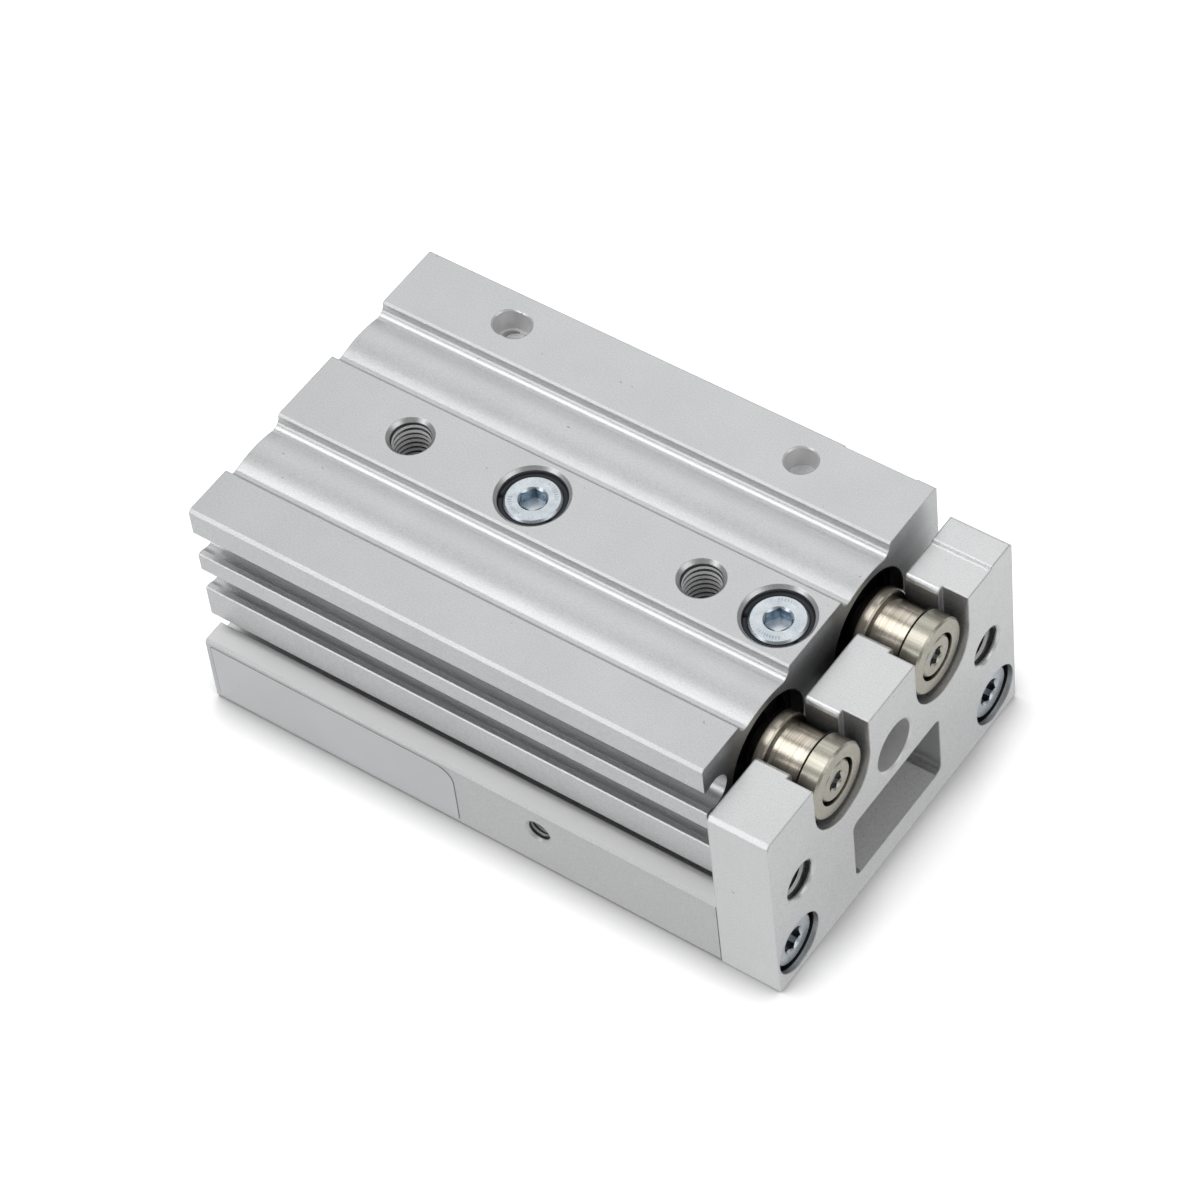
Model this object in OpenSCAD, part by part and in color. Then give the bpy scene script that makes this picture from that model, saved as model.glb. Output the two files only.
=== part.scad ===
// Pneumatic slide table: two air cylinders side by side in one extruded body
// drive a channel-shaped table that runs on a ball guide.  It stands on the
// table's mounting face, with the cylinder body on top.  X is the stroke, from
// the head caps to the end plate, Y is the width and Z is up.  The origin is at
// the middle of the outline, on the plane of the table's mounting face.

/* [Cylinder body] */
// Height from the table's mounting face to the body's mounting face
total_height = 32; // [31.4:0.2:34]
// Height of the body's underside over the table's mounting face
body_underside = 13.2; // [13:0.1:13.6]
// Distance from the centre plane to the side with the switch grooves
near_side = 22.5; // [22.3:0.1:24]
// Distance from the centre plane to the side with the air ports
far_side = 25; // [24.6:0.1:26]
// Width of the shallow valleys between the three mounting lands
valley_width = 9.8; // [9.4:0.1:11]
// Depth of the valleys below the lands
valley_depth = 1.8; // [1.2:0.1:2.2]
// Height of the rounded tube crown above the valley's floor
crown_height = 0.75; // [0.3:0.05:1]
// Chamfer on the edges of the lands
land_chamfer = 0.25; // [0.1:0.05:0.4]

/* [Cylinders] */
// Distance between the two cylinder axes
bore_pitch = 20.6; // [20.4:0.1:21.4]
// Height of the cylinder axes over the table's mounting face
bore_height = 22.75; // [22.4:0.05:23]
// Diameter of the cylinder bores
bore_diameter = 12; // [11.6:0.1:12.2]
// Diameter of the recess for the rod cover's flange
cover_recess_diameter = 14.3; // [14:0.1:14.6]
// Diameter of the piston rods
rod_diameter = 6; // [5:0.5:6]
// Stroke of the table, which sets the body's length with the pieces in the bores
stroke = 30; // [28:1:50]
// Length of the pistons
piston_length = 18; // [16:0.5:24]
// Length of the head caps
head_cap_length = 4; // [3.5:0.5:6]
// Length of the rod covers' bearing inside the bores
cover_spigot_length = 8.2; // [7:0.2:12]
// Length of the bumpers that stop the pistons in front
bumper_length = 2.9; // [2:0.1:4]

/* [Switch grooves] */
// Width of the upper groove's mouth
upper_mouth = 3.8; // [3.2:0.1:4]
// Width of the lower groove's mouth
lower_mouth = 3.3; // [2.8:0.1:3.4]
// Distance of the upper groove's axis below the mounting lands
upper_groove_drop = 6; // [5.6:0.1:6.4]
// Distance of the lower groove's axis below the mounting lands
lower_groove_drop = 12.4; // [12:0.1:12.8]

/* [Body mounting] */
// Distance of the rear fixing thread from the rear face
fixing_rear = 15.4; // [14:0.2:20]
// Distance between the two fixing threads
fixing_spacing = 41; // [36:0.5:42]
// Nominal diameter of the fixing threads
fixing_thread = 5; // [4:1:5]
// Depth of the fixing threads
fixing_depth = 10; // [6:0.5:12]
// Distance of the locating holes from the centre plane
locating_offset = 20.35; // [19:0.05:21]
// Diameter of the locating holes
locating_diameter = 4; // [3:0.5:4]
// Length of the elongated locating hole
locating_length = 4.9; // [4.2:0.1:5.6]
// Depth of the locating holes
locating_depth = 3.2; // [2.8:0.2:5]

/* [Air ports] */
// Distance of the rear port from the head caps
rear_port_offset = 2; // [1.8:0.1:2.6]
// Distance of the front port from the rod covers' flanges
front_port_offset = 1.8; // [1.4:0.1:2.2]
// Nominal diameter of the port threads
port_thread = 5; // [4:1:5]
// Depth of the port threads
port_depth = 5; // [4:0.5:5.5]

/* [Table] */
// Gap between the body's front face and the end plate with the table retracted
front_gap = 1.96; // [1.6:0.02:4]
// Distance from the body's rear face to the table's rear end
table_inset = 0.36; // [0:0.02:2]
// Half of the table channel's width
table_side = 24.85; // [24.5:0.05:25.5]
// Height of the channel's side walls
wall_height = 10.75; // [10:0.05:12]
// Thickness of the channel's side walls
wall_thickness = 3.15; // [2.5:0.05:4]
// Thickness of the floor under the guide rail
floor_thickness = 3.5; // [3.2:0.1:4]
// Height of the shoulders beside the guide
shoulder_height = 9.2; // [8.9:0.1:9.6]
// Spacing along the stroke of the threads in the table's face
table_thread_spacing = 20; // [14:0.5:21]
// Spacing across the table of the threads in the table's face
table_thread_width = 34; // [30:0.5:38]
// Nominal diameter of the threads in the table's face
table_thread = 5; // [4:1:5]
// Nominal diameter of the thread in the table's near side
side_thread = 3; // [2.5:0.5:4]
// Height of the thread in the table's near side
side_thread_height = 6.8; // [5:0.1:7.6]
// Distance of that thread from the end plate
side_thread_setback = 25.2; // [20:0.2:36]
// Depth of the threads in the table's face
table_thread_depth = 7; // [5:0.5:8]

/* [End plate] */
// Thickness of the end plate along the stroke
plate_thickness = 8; // [7.6:0.1:9]
// Height of the end plate
plate_height = 27.8; // [27.4:0.1:28.2]
// Height of the raised strip on the plate's far wing
strip_rise = 0.35; // [0.2:0.05:0.6]
// Width of the raised strip
strip_width = 4; // [3:0.2:5]
// Width of the rod slot's rear part
neck_slot = 9.3; // [9:0.1:9.6]
// Width of the rod slot's front part
head_slot = 11.2; // [10.4:0.1:11.4]
// Length of the rod slot's rear part along the stroke
neck_slot_depth = 4.5; // [4:0.1:5]
// Width of the window over the guide
window_width = 18; // [16:0.5:20]
// Height of the window's upper edge
window_top = 13.3; // [12.8:0.1:13.6]
// Height of the plate's clamping screws
clamp_screw_height = 4.7; // [4.6:0.05:5]
// Distance between the plate's clamping screws
clamp_screw_spacing = 41.4; // [40.6:0.2:41.6]
// Height of the threads for tooling on the plate
tooling_height = 15.2; // [15:0.1:16]
// Distance between the threads for tooling
tooling_spacing = 38.8; // [38:0.2:40]
// Nominal diameter of the threads for tooling
tooling_thread = 5; // [4:1:5]
// Diameter of the central bore in the plate
centre_bore = 6.7; // [6:0.1:7]
// Height of the central bore
centre_bore_height = 18.2; // [18:0.1:18.4]

/* [Rod ends] */
// Diameter of the collar behind the end plate
collar_diameter = 10.2; // [9.8:0.1:10.6]
// Diameter of the neck inside the rod slot
neck_diameter = 8.5; // [7.6:0.1:8.6]
// Diameter of the clamping disc in front
disc_diameter = 9.8; // [9.4:0.1:10.2]
// Thickness of the clamping disc
disc_thickness = 2.75; // [2.4:0.05:2.9]

/* [Ball guide] */
// Width of the guide rail
rail_width = 12; // [11.4:0.1:12.4]
// Height of the guide rail
rail_height = 6.2; // [6:0.1:6.3]
// Width of the guide block
block_width = 22; // [21:0.2:23]
// Length of the guide block's steel part
block_length = 39.8; // [36:0.2:44]
// Distance of the guide block's screws from its ends
block_screw_edge = 2.95; // [2.9:0.05:4]
// Gap between the guide block's front wiper and the end plate
guide_front_gap = 0.51; // [0.4:0.01:3]
// Diameter of the balls
ball_diameter = 2; // [1.8:0.1:2]
// Number of balls carrying load on each side
balls_per_side = 15; // [8:1:16]

/* [Hidden] */
$fn = 64;

// Points in the other order, and a half outline with its mirror image
function reverse(list) = [for (i = [len(list) - 1 : -1 : 0]) list[i]];
function both_halves(half) = concat(half, [for (point = reverse(half)) [-point[0], point[1]]]);

// Small overlap that keeps cutting faces apart
over = 0.5;
// Running clearance on a radius between sliding pieces
running = 0.03;
// Clearance on a radius between pieces that are only assembled
fitted = 0.05;

// What lies in the bores, from the body's rear face to its front face
ring_thickness = 1;
ring_groove = 0.45;
ring_width = 1.5;
ring_opening = 3;
rear_bumper_length = 1.4;
stop_gap = 0.1;
cover_flange_length = 2.8;
mouth_depth = 1.8;
head_cap_recess = 0.4;
head_cap_start = ring_thickness + head_cap_recess;
head_cap_end = head_cap_start + head_cap_length;
piston_start = head_cap_end + rear_bumper_length + stop_gap;
piston_end = piston_start + piston_length;
bumper_start = piston_end + stroke + 2 * stop_gap;
spigot_start = bumper_start + bumper_length;
cover_flange_start = spigot_start + cover_spigot_length;
cover_flange_end = cover_flange_start + cover_flange_length;
body_length = cover_flange_end + ring_thickness + mouth_depth;

// Seats of the rod covers and head caps
cover_spigot_gap = 0.2;
annulus_length = 5.7;
seat_step = 0.6;
annulus_radius = bore_diameter / 2 + seat_step;
cap_radius = bore_diameter / 2 + seat_step;
passage_radius = 1.1;
passage_margin = 0.3;

// Moving pieces along the stroke
plate_back = body_length + front_gap;
plate_front = plate_back + plate_thickness;
table_length = plate_back - table_inset;
origin_shift = plate_front / 2;

// Rod end pieces
collar_length = 2.56;
rod_spigot = 0.6;
rod_thread_depth = 6;
rod_screw_hole_radius = 2.1;
rod_end = plate_back - collar_length;
disc_start = plate_back + neck_slot_depth;
screw_recess_radius = 3.05;
screw_recess_depth = 1.9;

// Lands and valleys
half_pitch = bore_pitch / 2;
valley_floor = total_height - valley_depth;
crown_margin = 0.6;
crown_half_width = valley_width / 2 - crown_margin;
crown_radius = (pow(crown_half_width, 2) + pow(crown_height, 2)) / (2 * crown_height);

// Screw sizes: nominal radius, head radius, head height, hexagon across flats
m4 = [2, 3.5, 4, 3];
m3 = [1.5, 2.75, 3, 2.5];
// Room between a screw's shank and its plain hole
screw_clearance = 0.2;

// Ball guide
rail_inset = 1;
rail_length = table_length - 2 * rail_inset;
rail_top = floor_thickness + rail_height;
race_share = 0.565;
race_relief = 0.25;
ball_height = floor_thickness + rail_height * race_share;
ball_offset = rail_width / 2 + race_relief;
race_clearance = 0.02;
web_gap = 0.5;
leg_gap = 0.75;
foot_gap = 0.9;
block_foot = floor_thickness + foot_gap;
cap_length = 3;
wiper_length = 0.5;
rail_screw_pitch = 20;

// Draws children where the part's own frame has them
module in_frame() {
    translate([-origin_shift, 0, 0]) children();
}

// Extrudes a profile drawn in (width, height) along the stroke
module along_stroke(start, length) {
    translate([start, 0, 0]) rotate([90, 0, 90]) linear_extrude(length) children();
}

// Box between two corners
module box(from, to) {
    translate(from) cube(to - from);
}

// Round bar or cone along the stroke
module bar(start, end, radius, y = 0, z = 0, tip = -1) {
    translate([start, y, z])
        rotate([0, 90, 0])
            cylinder(h = end - start, r1 = radius, r2 = tip < 0 ? radius : tip);
}

// Round pin or cone that goes up from a point
module post(place, height, radius, tip = -1) {
    translate(place) cylinder(h = height, r1 = radius, r2 = tip < 0 ? radius : tip);
}

// Turned ring around a bar along the stroke
ring_chamfer = 0.12;
module ring(start, end, inner, outer, y, z, chamfer = ring_chamfer) {
    translate([start, y, z]) rotate([0, 90, 0])
        rotate_extrude()
            polygon([
                [inner, 0], [outer - chamfer, 0], [outer, chamfer],
                [outer, end - start - chamfer], [outer - chamfer, end - start], [inner, end - start]
            ]);
}

// Ring with a gap, as a retaining ring has
retainer_chamfer = 0.05;
module split_ring(start, end, inner, outer, y, z, gap) {
    difference() {
        ring(start, end, inner, outer, y, z, retainer_chamfer);
        box([start - over, y - gap / 2, z - outer - over], [end + over, y + gap / 2, z]);
    }
}

// Threaded hole that opens upward, with its countersink
thread_chamfer = 0.45;
module thread_up(place, depth, nominal) {
    post(place - [0, 0, depth], depth + over, nominal / 2);
    post(place - [0, 0, thread_chamfer], thread_chamfer + over,
         nominal / 2, nominal / 2 + thread_chamfer + over);
}

// Hexagon socket: its share of the head, the drill point below it and the flare at its mouth
socket_share = 0.45;
socket_point = 0.4;
socket_flare = 0.3;
socket_tip = 0.1;
head_chamfer = 0.25;

// Socket screw whose head faces up: place is the middle of the head's top
module socket_screw(place, size, shank) {
    translate(place) difference() {
        union() {
            translate([0, 0, -size[2]]) cylinder(h = size[2] - head_chamfer, r = size[1]);
            translate([0, 0, -head_chamfer])
                cylinder(h = head_chamfer, r1 = size[1], r2 = size[1] - head_chamfer);
            translate([0, 0, -size[2] - shank]) cylinder(h = shank + over, r = size[0] - fitted);
        }
        translate([0, 0, -size[2] * socket_share]) {
            cylinder(h = size[2], d = size[3] / cos(30), $fn = 6);
            translate([0, 0, -socket_point])
                cylinder(h = socket_point + over, r1 = socket_tip, r2 = size[3] / 2);
        }
        translate([0, 0, -socket_flare])
            cylinder(h = socket_flare + over, r1 = size[3] / 2, r2 = size[3] / 2 + socket_flare + over);
    }
}

// The same screw with its head toward +X
module socket_screw_front(place, size, shank) {
    translate(place) rotate([0, 90, 0]) socket_screw([0, 0, 0], size, shank);
}

// Cylinder body

// Outline across the stroke: three lands with two valleys between them, whose feet are rounded
near_bevel = 1.6 * land_chamfer;
function land_edge(y, toward) = [
    [y - toward * land_chamfer, total_height],
    [y, total_height - land_chamfer],
    [y, valley_floor]
];
body_outline = concat(
    [[-near_side, body_underside], [far_side, body_underside],
     [far_side, total_height - land_chamfer], [far_side - land_chamfer, total_height]],
    land_edge(half_pitch + valley_width / 2, -1),
    reverse(land_edge(half_pitch - valley_width / 2, 1)),
    land_edge(-half_pitch + valley_width / 2, -1),
    reverse(land_edge(-half_pitch - valley_width / 2, 1)),
    [[-near_side + near_bevel, total_height], [-near_side, total_height - near_bevel]]
);

// Rounded corner between a valley's wall and the crown, which it meets without a crease
foot_radius = 1.2;
foot_reach = valley_width / 2 - foot_radius;
foot_height = sqrt(pow(crown_radius + foot_radius, 2) - pow(foot_reach, 2)) + crown_height - crown_radius;
foot_width = valley_width / 2 - foot_reach * crown_radius / (crown_radius + foot_radius);
module valley_foot(y, toward) {
    translate([y, valley_floor]) mirror([toward > 0 ? 0 : 1, 0]) difference() {
        translate([-over, -over]) square([foot_width + over, foot_height + over]);
        translate([foot_radius, foot_height]) circle(r = foot_radius);
    }
}

// Switch groove: a round channel behind the two lips of a narrower, chamfered mouth
groove_lip = 0.85;
groove_undercut = 0.3;
groove_chamfer = 0.15;
module switch_groove(height, mouth) {
    half = mouth / 2;
    channel = half + groove_undercut;
    depth = groove_lip + sqrt(pow(channel, 2) - pow(half, 2));
    flare = half + groove_chamfer + over;
    box([-over, -near_side - over, height - half], [body_length + over, -near_side + depth, height + half]);
    bar(-over, body_length + over, channel, -near_side + depth, height);
    along_stroke(-over, body_length + 2 * over) polygon([
        [-near_side + groove_chamfer, height - half], [-near_side - over, height - flare],
        [-near_side - over, height + flare], [-near_side + groove_chamfer, height + half]
    ]);
}

// Cylinder bore with the seats of the head cap and the rod cover
module cylinder_bore(y) {
    bar(-over, body_length + over, bore_diameter / 2, y, bore_height);
    bar(-over, head_cap_end, cap_radius, y, bore_height);
    bar(head_cap_start - ring_thickness, head_cap_start, cap_radius + ring_groove, y, bore_height);
    bar(cover_flange_start - annulus_length, cover_flange_start + over, annulus_radius, y, bore_height);
    bar(cover_flange_start, body_length + over, cover_recess_diameter / 2, y, bore_height);
    bar(cover_flange_end, cover_flange_end + ring_thickness,
        cover_recess_diameter / 2 + ring_groove, y, bore_height);
}

// Port thread in the far side, its passage to the far bore and the cross passage to the near one
module air_port(x, cross_passage) {
    translate([cross_passage, half_pitch, bore_height]) rotate([90, 0, 0])
        cylinder(h = bore_pitch, r = passage_radius);
    translate([x, 0, bore_height]) rotate([-90, 0, 0]) {
        translate([0, 0, half_pitch])
            cylinder(h = far_side - half_pitch - port_depth + over, r = passage_radius);
        translate([0, 0, far_side - port_depth]) cylinder(h = port_depth + over, d = port_thread);
        translate([0, 0, far_side - port_chamfer])
            cylinder(h = port_chamfer + over, r1 = port_thread / 2,
                     r2 = port_thread / 2 + port_chamfer + over);
    }
}

port_chamfer = 0.4;
rear_port = head_cap_end + rear_port_offset;
front_port = cover_flange_start - front_port_offset;

// Shallow notch in the far top edge over the front port, with rounded lower corners
edge_notch_half = 4.95;
edge_notch_height = 5.5;
edge_notch_depth = 0.35;
edge_notch_corner = 1.5;
module edge_notch(x) {
    low = total_height - edge_notch_height;
    inside = far_side - edge_notch_depth;
    box([x - edge_notch_half, inside, low + edge_notch_corner],
        [x + edge_notch_half, far_side + over, total_height + over]);
    box([x - edge_notch_half + edge_notch_corner, inside, low],
        [x + edge_notch_half - edge_notch_corner, far_side + over, total_height]);
    for (side = [-1, 1])
        translate([x + side * (edge_notch_half - edge_notch_corner), inside, low + edge_notch_corner])
            rotate([-90, 0, 0]) cylinder(h = edge_notch_depth + over, r = edge_notch_corner);
}

// Locating hole, drawn out along the stroke if length is more than its diameter
locating_chamfer = 0.15;
locating_core = 0.82;
locating_core_depth = 1;
locating_point = 0.8;
locating_tip = 0.2;
module locating_hole(x, length) {
    radius = locating_diameter / 2;
    reach = (length - locating_diameter) / 2;
    low = total_height - locating_depth;
    for (step = reach > 0 ? [-reach, reach] : [0]) {
        post([x + step, locating_offset, low], locating_depth + over, radius);
        post([x + step, locating_offset, total_height - locating_chamfer], locating_chamfer + over,
             radius, radius + locating_chamfer + over);
    }
    if (reach > 0) box([x - reach, locating_offset - radius, low],
                       [x + reach, locating_offset + radius, total_height + over]);
    // Core of the drill that went before the reamer
    post([x, locating_offset, low - locating_core_depth], locating_core_depth + over, radius * locating_core);
    post([x, locating_offset, low - locating_core_depth - locating_point], locating_point,
         locating_tip, radius * locating_core);
}

// Seat of a guide block screw
screw_sink = 0.55;
screw_pocket_gap = 0.7;
screw_pocket_radius = m4[1] + screw_pocket_gap;
screw_seat = total_height - screw_sink - m4[2];
pocket_chamfer = 0.4;
module block_screw_hole(x) {
    post([x, 0, body_underside - over], total_height, m4[0] + screw_clearance);
    post([x, 0, screw_seat], total_height, screw_pocket_radius);
    post([x, 0, total_height - pocket_chamfer], pocket_chamfer + over,
         screw_pocket_radius, screw_pocket_radius + pocket_chamfer + over);
}

module cylinder_body() {
    color("silver") in_frame() difference() {
        union() {
            along_stroke(0, body_length) {
                polygon(body_outline);
                for (y = [-half_pitch, half_pitch], toward = [-1, 1])
                    valley_foot(y - toward * valley_width / 2, toward);
            }
            for (y = [-half_pitch, half_pitch]) intersection() {
                bar(0, body_length, crown_radius, y, valley_floor + crown_height - crown_radius);
                box([0, y - valley_width / 2 + crown_margin / 2, valley_floor - over],
                    [body_length, y + valley_width / 2 - crown_margin / 2, total_height]);
            }
        }
        switch_groove(total_height - upper_groove_drop, upper_mouth);
        switch_groove(total_height - lower_groove_drop, lower_mouth);
        for (y = [-half_pitch, half_pitch]) cylinder_bore(y);
        for (x = [fixing_rear, fixing_rear + fixing_spacing])
            thread_up([x, 0, total_height], fixing_depth, fixing_thread);
        locating_hole(fixing_rear, locating_length);
        locating_hole(fixing_rear + fixing_spacing, locating_diameter);
        for (x = block_screw_places) block_screw_hole(x);
        air_port(rear_port, rear_port);
        air_port(front_port, cover_flange_start - annulus_length + passage_radius + passage_margin);
        edge_notch(front_port);
    }
}

// Cylinder internals

// Rod cover: flange with two ring grooves and a long bearing spigot
cover_chamfer = 0.2;
spigot_chamfer = 0.3;
module rod_cover(y) {
    color("dimgray") in_frame() difference() {
        union() {
            ring(cover_flange_start, cover_flange_end, rod_diameter / 2,
                 cover_recess_diameter / 2 - fitted, y, bore_height, cover_chamfer);
            ring(spigot_start, cover_flange_start + over, rod_diameter / 2,
                 bore_diameter / 2 - cover_spigot_gap, y, bore_height, spigot_chamfer);
        }
        bar(spigot_start - over, cover_flange_end + over, rod_diameter / 2 + running, y, bore_height);
        rod_seal_room(y);
        cover_seal_room(y);
    }
}
rod_seal_width = 1.6;
rod_seal_wall = 0.3;
rod_seal_radius = rod_diameter / 2 + rod_seal_width;
rod_seal_start = cover_flange_start + rod_seal_wall;
rod_seal_length = 2;
rod_mouth_gap = 0.5;
module rod_seal_room(y) {
    bar(rod_seal_start, rod_seal_start + rod_seal_length, rod_seal_radius, y, bore_height);
    bar(rod_seal_start + rod_seal_length, body_length, rod_diameter / 2 + rod_mouth_gap, y, bore_height);
}
cover_seal_inset = 0.8;
cover_seal_start = cover_flange_start + cover_seal_inset;
seal_width = 1.2;
seal_depth = 0.9;
seal_chamfer = 0.2;
module cover_seal_room(y) {
    outer = cover_recess_diameter / 2;
    difference() {
        bar(cover_seal_start, cover_seal_start + seal_width, outer + over, y, bore_height);
        bar(cover_seal_start - over, cover_seal_start + seal_width + over,
            outer - seal_depth, y, bore_height);
    }
}
module rod_cover_near() { rod_cover(-half_pitch); }
module rod_cover_far() { rod_cover(half_pitch); }

module cover_seal_rings() {
    outer = cover_recess_diameter / 2;
    color("black") in_frame() for (y = [-half_pitch, half_pitch])
        ring(cover_seal_start, cover_seal_start + seal_width,
             outer - seal_depth, outer, y, bore_height, seal_chamfer);
}

module rod_seals() {
    color("black") in_frame() for (y = [-half_pitch, half_pitch])
        ring(rod_seal_start, rod_seal_start + rod_seal_length,
             rod_diameter / 2 + running, rod_seal_radius, y, bore_height);
}

module cover_retaining_rings() {
    outer = cover_recess_diameter / 2 + ring_groove - fitted;
    color("dimgray") in_frame() for (y = [-half_pitch, half_pitch])
        split_ring(cover_flange_end, cover_flange_end + ring_thickness - fitted,
                   outer - ring_width, outer, y, bore_height, ring_opening);
}

bumper_clearance = 0.3;
bumper_step = 1.2;
bumper_chamfer = 0.3;
module front_bumpers() {
    color("darkgreen") in_frame() for (y = [-half_pitch, half_pitch])
        ring(bumper_start, spigot_start, rod_diameter / 2 + bumper_clearance,
             bore_diameter / 2 - bumper_step, y, bore_height, bumper_chamfer);
}

// Head cap: plain disc with one ring groove and a hole to pull it out by
head_cap_chamfer = 0.25;
pull_hole_radius = 1.25;
pull_hole_depth = 1.2;
cap_seal_start = head_cap_start + head_cap_length / 2 - seal_width / 2;
module head_cap(y) {
    color("dimgray") in_frame() difference() {
        ring(head_cap_start, head_cap_end, 0, cap_radius - fitted, y, bore_height, head_cap_chamfer);
        difference() {
            bar(cap_seal_start, cap_seal_start + seal_width, cap_radius + over, y, bore_height);
            bar(cap_seal_start - over, cap_seal_start + seal_width + over,
                cap_radius - seal_depth, y, bore_height);
        }
        bar(head_cap_start - over, head_cap_start + pull_hole_depth, pull_hole_radius, y, bore_height);
    }
}
module head_cap_near() { head_cap(-half_pitch); }
module head_cap_far() { head_cap(half_pitch); }

module head_cap_seal_rings() {
    color("black") in_frame() for (y = [-half_pitch, half_pitch])
        ring(cap_seal_start, cap_seal_start + seal_width,
             cap_radius - seal_depth, cap_radius, y, bore_height, seal_chamfer);
}

module head_cap_retaining_rings() {
    outer = cap_radius + ring_groove - fitted;
    color("dimgray") in_frame() for (y = [-half_pitch, half_pitch])
        split_ring(head_cap_start - ring_thickness + fitted, head_cap_start,
                   outer - ring_width, outer, y, bore_height, ring_opening);
}

module rear_bumpers() {
    color("darkgreen") in_frame() for (y = [-half_pitch, half_pitch])
        bar(head_cap_end, head_cap_end + rear_bumper_length,
            bore_diameter / 2 - 1.5 * bumper_step, y, bore_height);
}

// Ball guide

// Outline of the guide block over the rail
module block_outline(half_width, foot, inner, ceiling) {
    corner = 0.5;
    relief = 0.4;
    polygon([
        [-half_width + corner, foot], [-inner, foot], [-inner, ceiling - relief],
        [-inner + relief, ceiling], [inner - relief, ceiling], [inner, ceiling - relief],
        [inner, foot], [half_width - corner, foot],
        [half_width, foot + corner], [half_width, body_underside - corner],
        [half_width - corner, body_underside], [-half_width + corner, body_underside],
        [-half_width, body_underside - corner], [-half_width, foot + corner]
    ]);
}
block_end = plate_back - guide_front_gap - wiper_length - cap_length;
block_start = block_end - block_length;
block_middle = (block_start + block_end) / 2;
block_screw_places = [block_start + block_screw_edge, block_end - block_screw_edge];
leg_inside = rail_width / 2 + leg_gap;
block_ceiling = rail_top + web_gap;
return_shift = 0.3;
return_offset = (leg_inside + block_width / 2) / 2 + return_shift;
race_radius = ball_diameter / 2 + race_clearance;
return_clearance = 0.1;

// End cap screws: shank radius, head radius, head height, reach into the block
cap_screw = [0.75, 1.4, 0.5, 2];
cap_screw_slot = [0.4, 0.25];
cap_screw_inset = [2.2, 1.6];
cap_thread_room = 1;
end_cap_screw_offset = block_width / 2 - cap_screw_inset[0];
end_cap_screw_height = body_underside - cap_screw_inset[1];

module guide_block() {
    color("lightgray") in_frame() difference() {
        along_stroke(block_start, block_length)
            block_outline(block_width / 2, block_foot, leg_inside, block_ceiling);
        for (side = [-1, 1]) {
            bar(block_start - over, block_end + over, race_radius, side * ball_offset, ball_height);
            bar(block_start - over, block_end + over, ball_diameter / 2 + return_clearance,
                side * return_offset, ball_height);
            for (end = [block_start, block_end])
                bar(end - cap_screw[3] - cap_thread_room, end + cap_screw[3] + cap_thread_room,
                    cap_screw[0] + fitted, side * end_cap_screw_offset, end_cap_screw_height);
        }
        for (x = block_screw_places)
            post([x, 0, block_ceiling - over], body_underside - block_ceiling + 2 * over, m4[0]);
    }
}

// End cap that turns the balls round: start is its rear face
cap_inset = 0.3;
cap_foot_gap = 0.2;
module block_end_cap(start) {
    color("darkslategray") in_frame() difference() {
        along_stroke(start, cap_length)
            block_outline(block_width / 2 - cap_inset, block_foot + cap_foot_gap, leg_inside, block_ceiling);
        for (side = [-1, 1])
            bar(start - over, start + cap_length + over, cap_screw[0] + fitted,
                side * end_cap_screw_offset, end_cap_screw_height);
    }
}
module block_end_cap_rear() { block_end_cap(block_start - cap_length); }
module block_end_cap_front() { block_end_cap(block_end); }

wiper_margin = 3.9;
wiper_edge = 0.5;
wiper_clearance = 0.2;
module block_wipers() {
    low = block_foot + wiper_edge;
    half = block_width / 2 - wiper_margin;
    inner = rail_width / 2 + wiper_clearance;
    color("black") in_frame()
        for (start = [block_start - cap_length - wiper_length, block_end + cap_length])
            along_stroke(start, wiper_length) difference() {
                translate([-half, low]) square([2 * half, body_underside - wiper_edge - low]);
                translate([-inner, 0]) square([2 * inner, rail_top + wiper_clearance]);
            }
}

module end_cap_screws() {
    color("silver") in_frame() for (side = [-1, 1], end = [-1, 1])
        translate([block_middle + end * (block_length / 2 + cap_length), side * end_cap_screw_offset,
                   end_cap_screw_height])
            rotate([0, end * 90, 0]) {
                difference() {
                    cylinder(h = cap_screw[2], r = cap_screw[1]);
                    translate([-cap_screw_slot[0] / 2, -cap_screw[1] - over,
                               cap_screw[2] - cap_screw_slot[1]])
                        cube([cap_screw_slot[0], 2 * (cap_screw[1] + over), cap_screw[2]]);
                }
                translate([0, 0, -cap_length - cap_screw[3]])
                    cylinder(h = cap_length + cap_screw[3] + cap_screw_slot[1] / 2, r = cap_screw[0]);
            }
}

module guide_balls() {
    pitch = (block_length - ball_diameter) / balls_per_side;
    color("gainsboro") in_frame() for (side = [-1, 1], i = [0 : balls_per_side - 1])
        translate([block_start + ball_diameter / 2 + (i + 0.5) * pitch, side * ball_offset, ball_height])
            sphere(d = ball_diameter, $fn = 32);
}

screw_tip_gap = 0.3;
module block_screws() {
    length = screw_seat - block_ceiling - screw_tip_gap;
    color("silver") in_frame() for (x = block_screw_places)
        socket_screw([x, 0, total_height - screw_sink], m4, length);
}

// Table, rail and end plate

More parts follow.
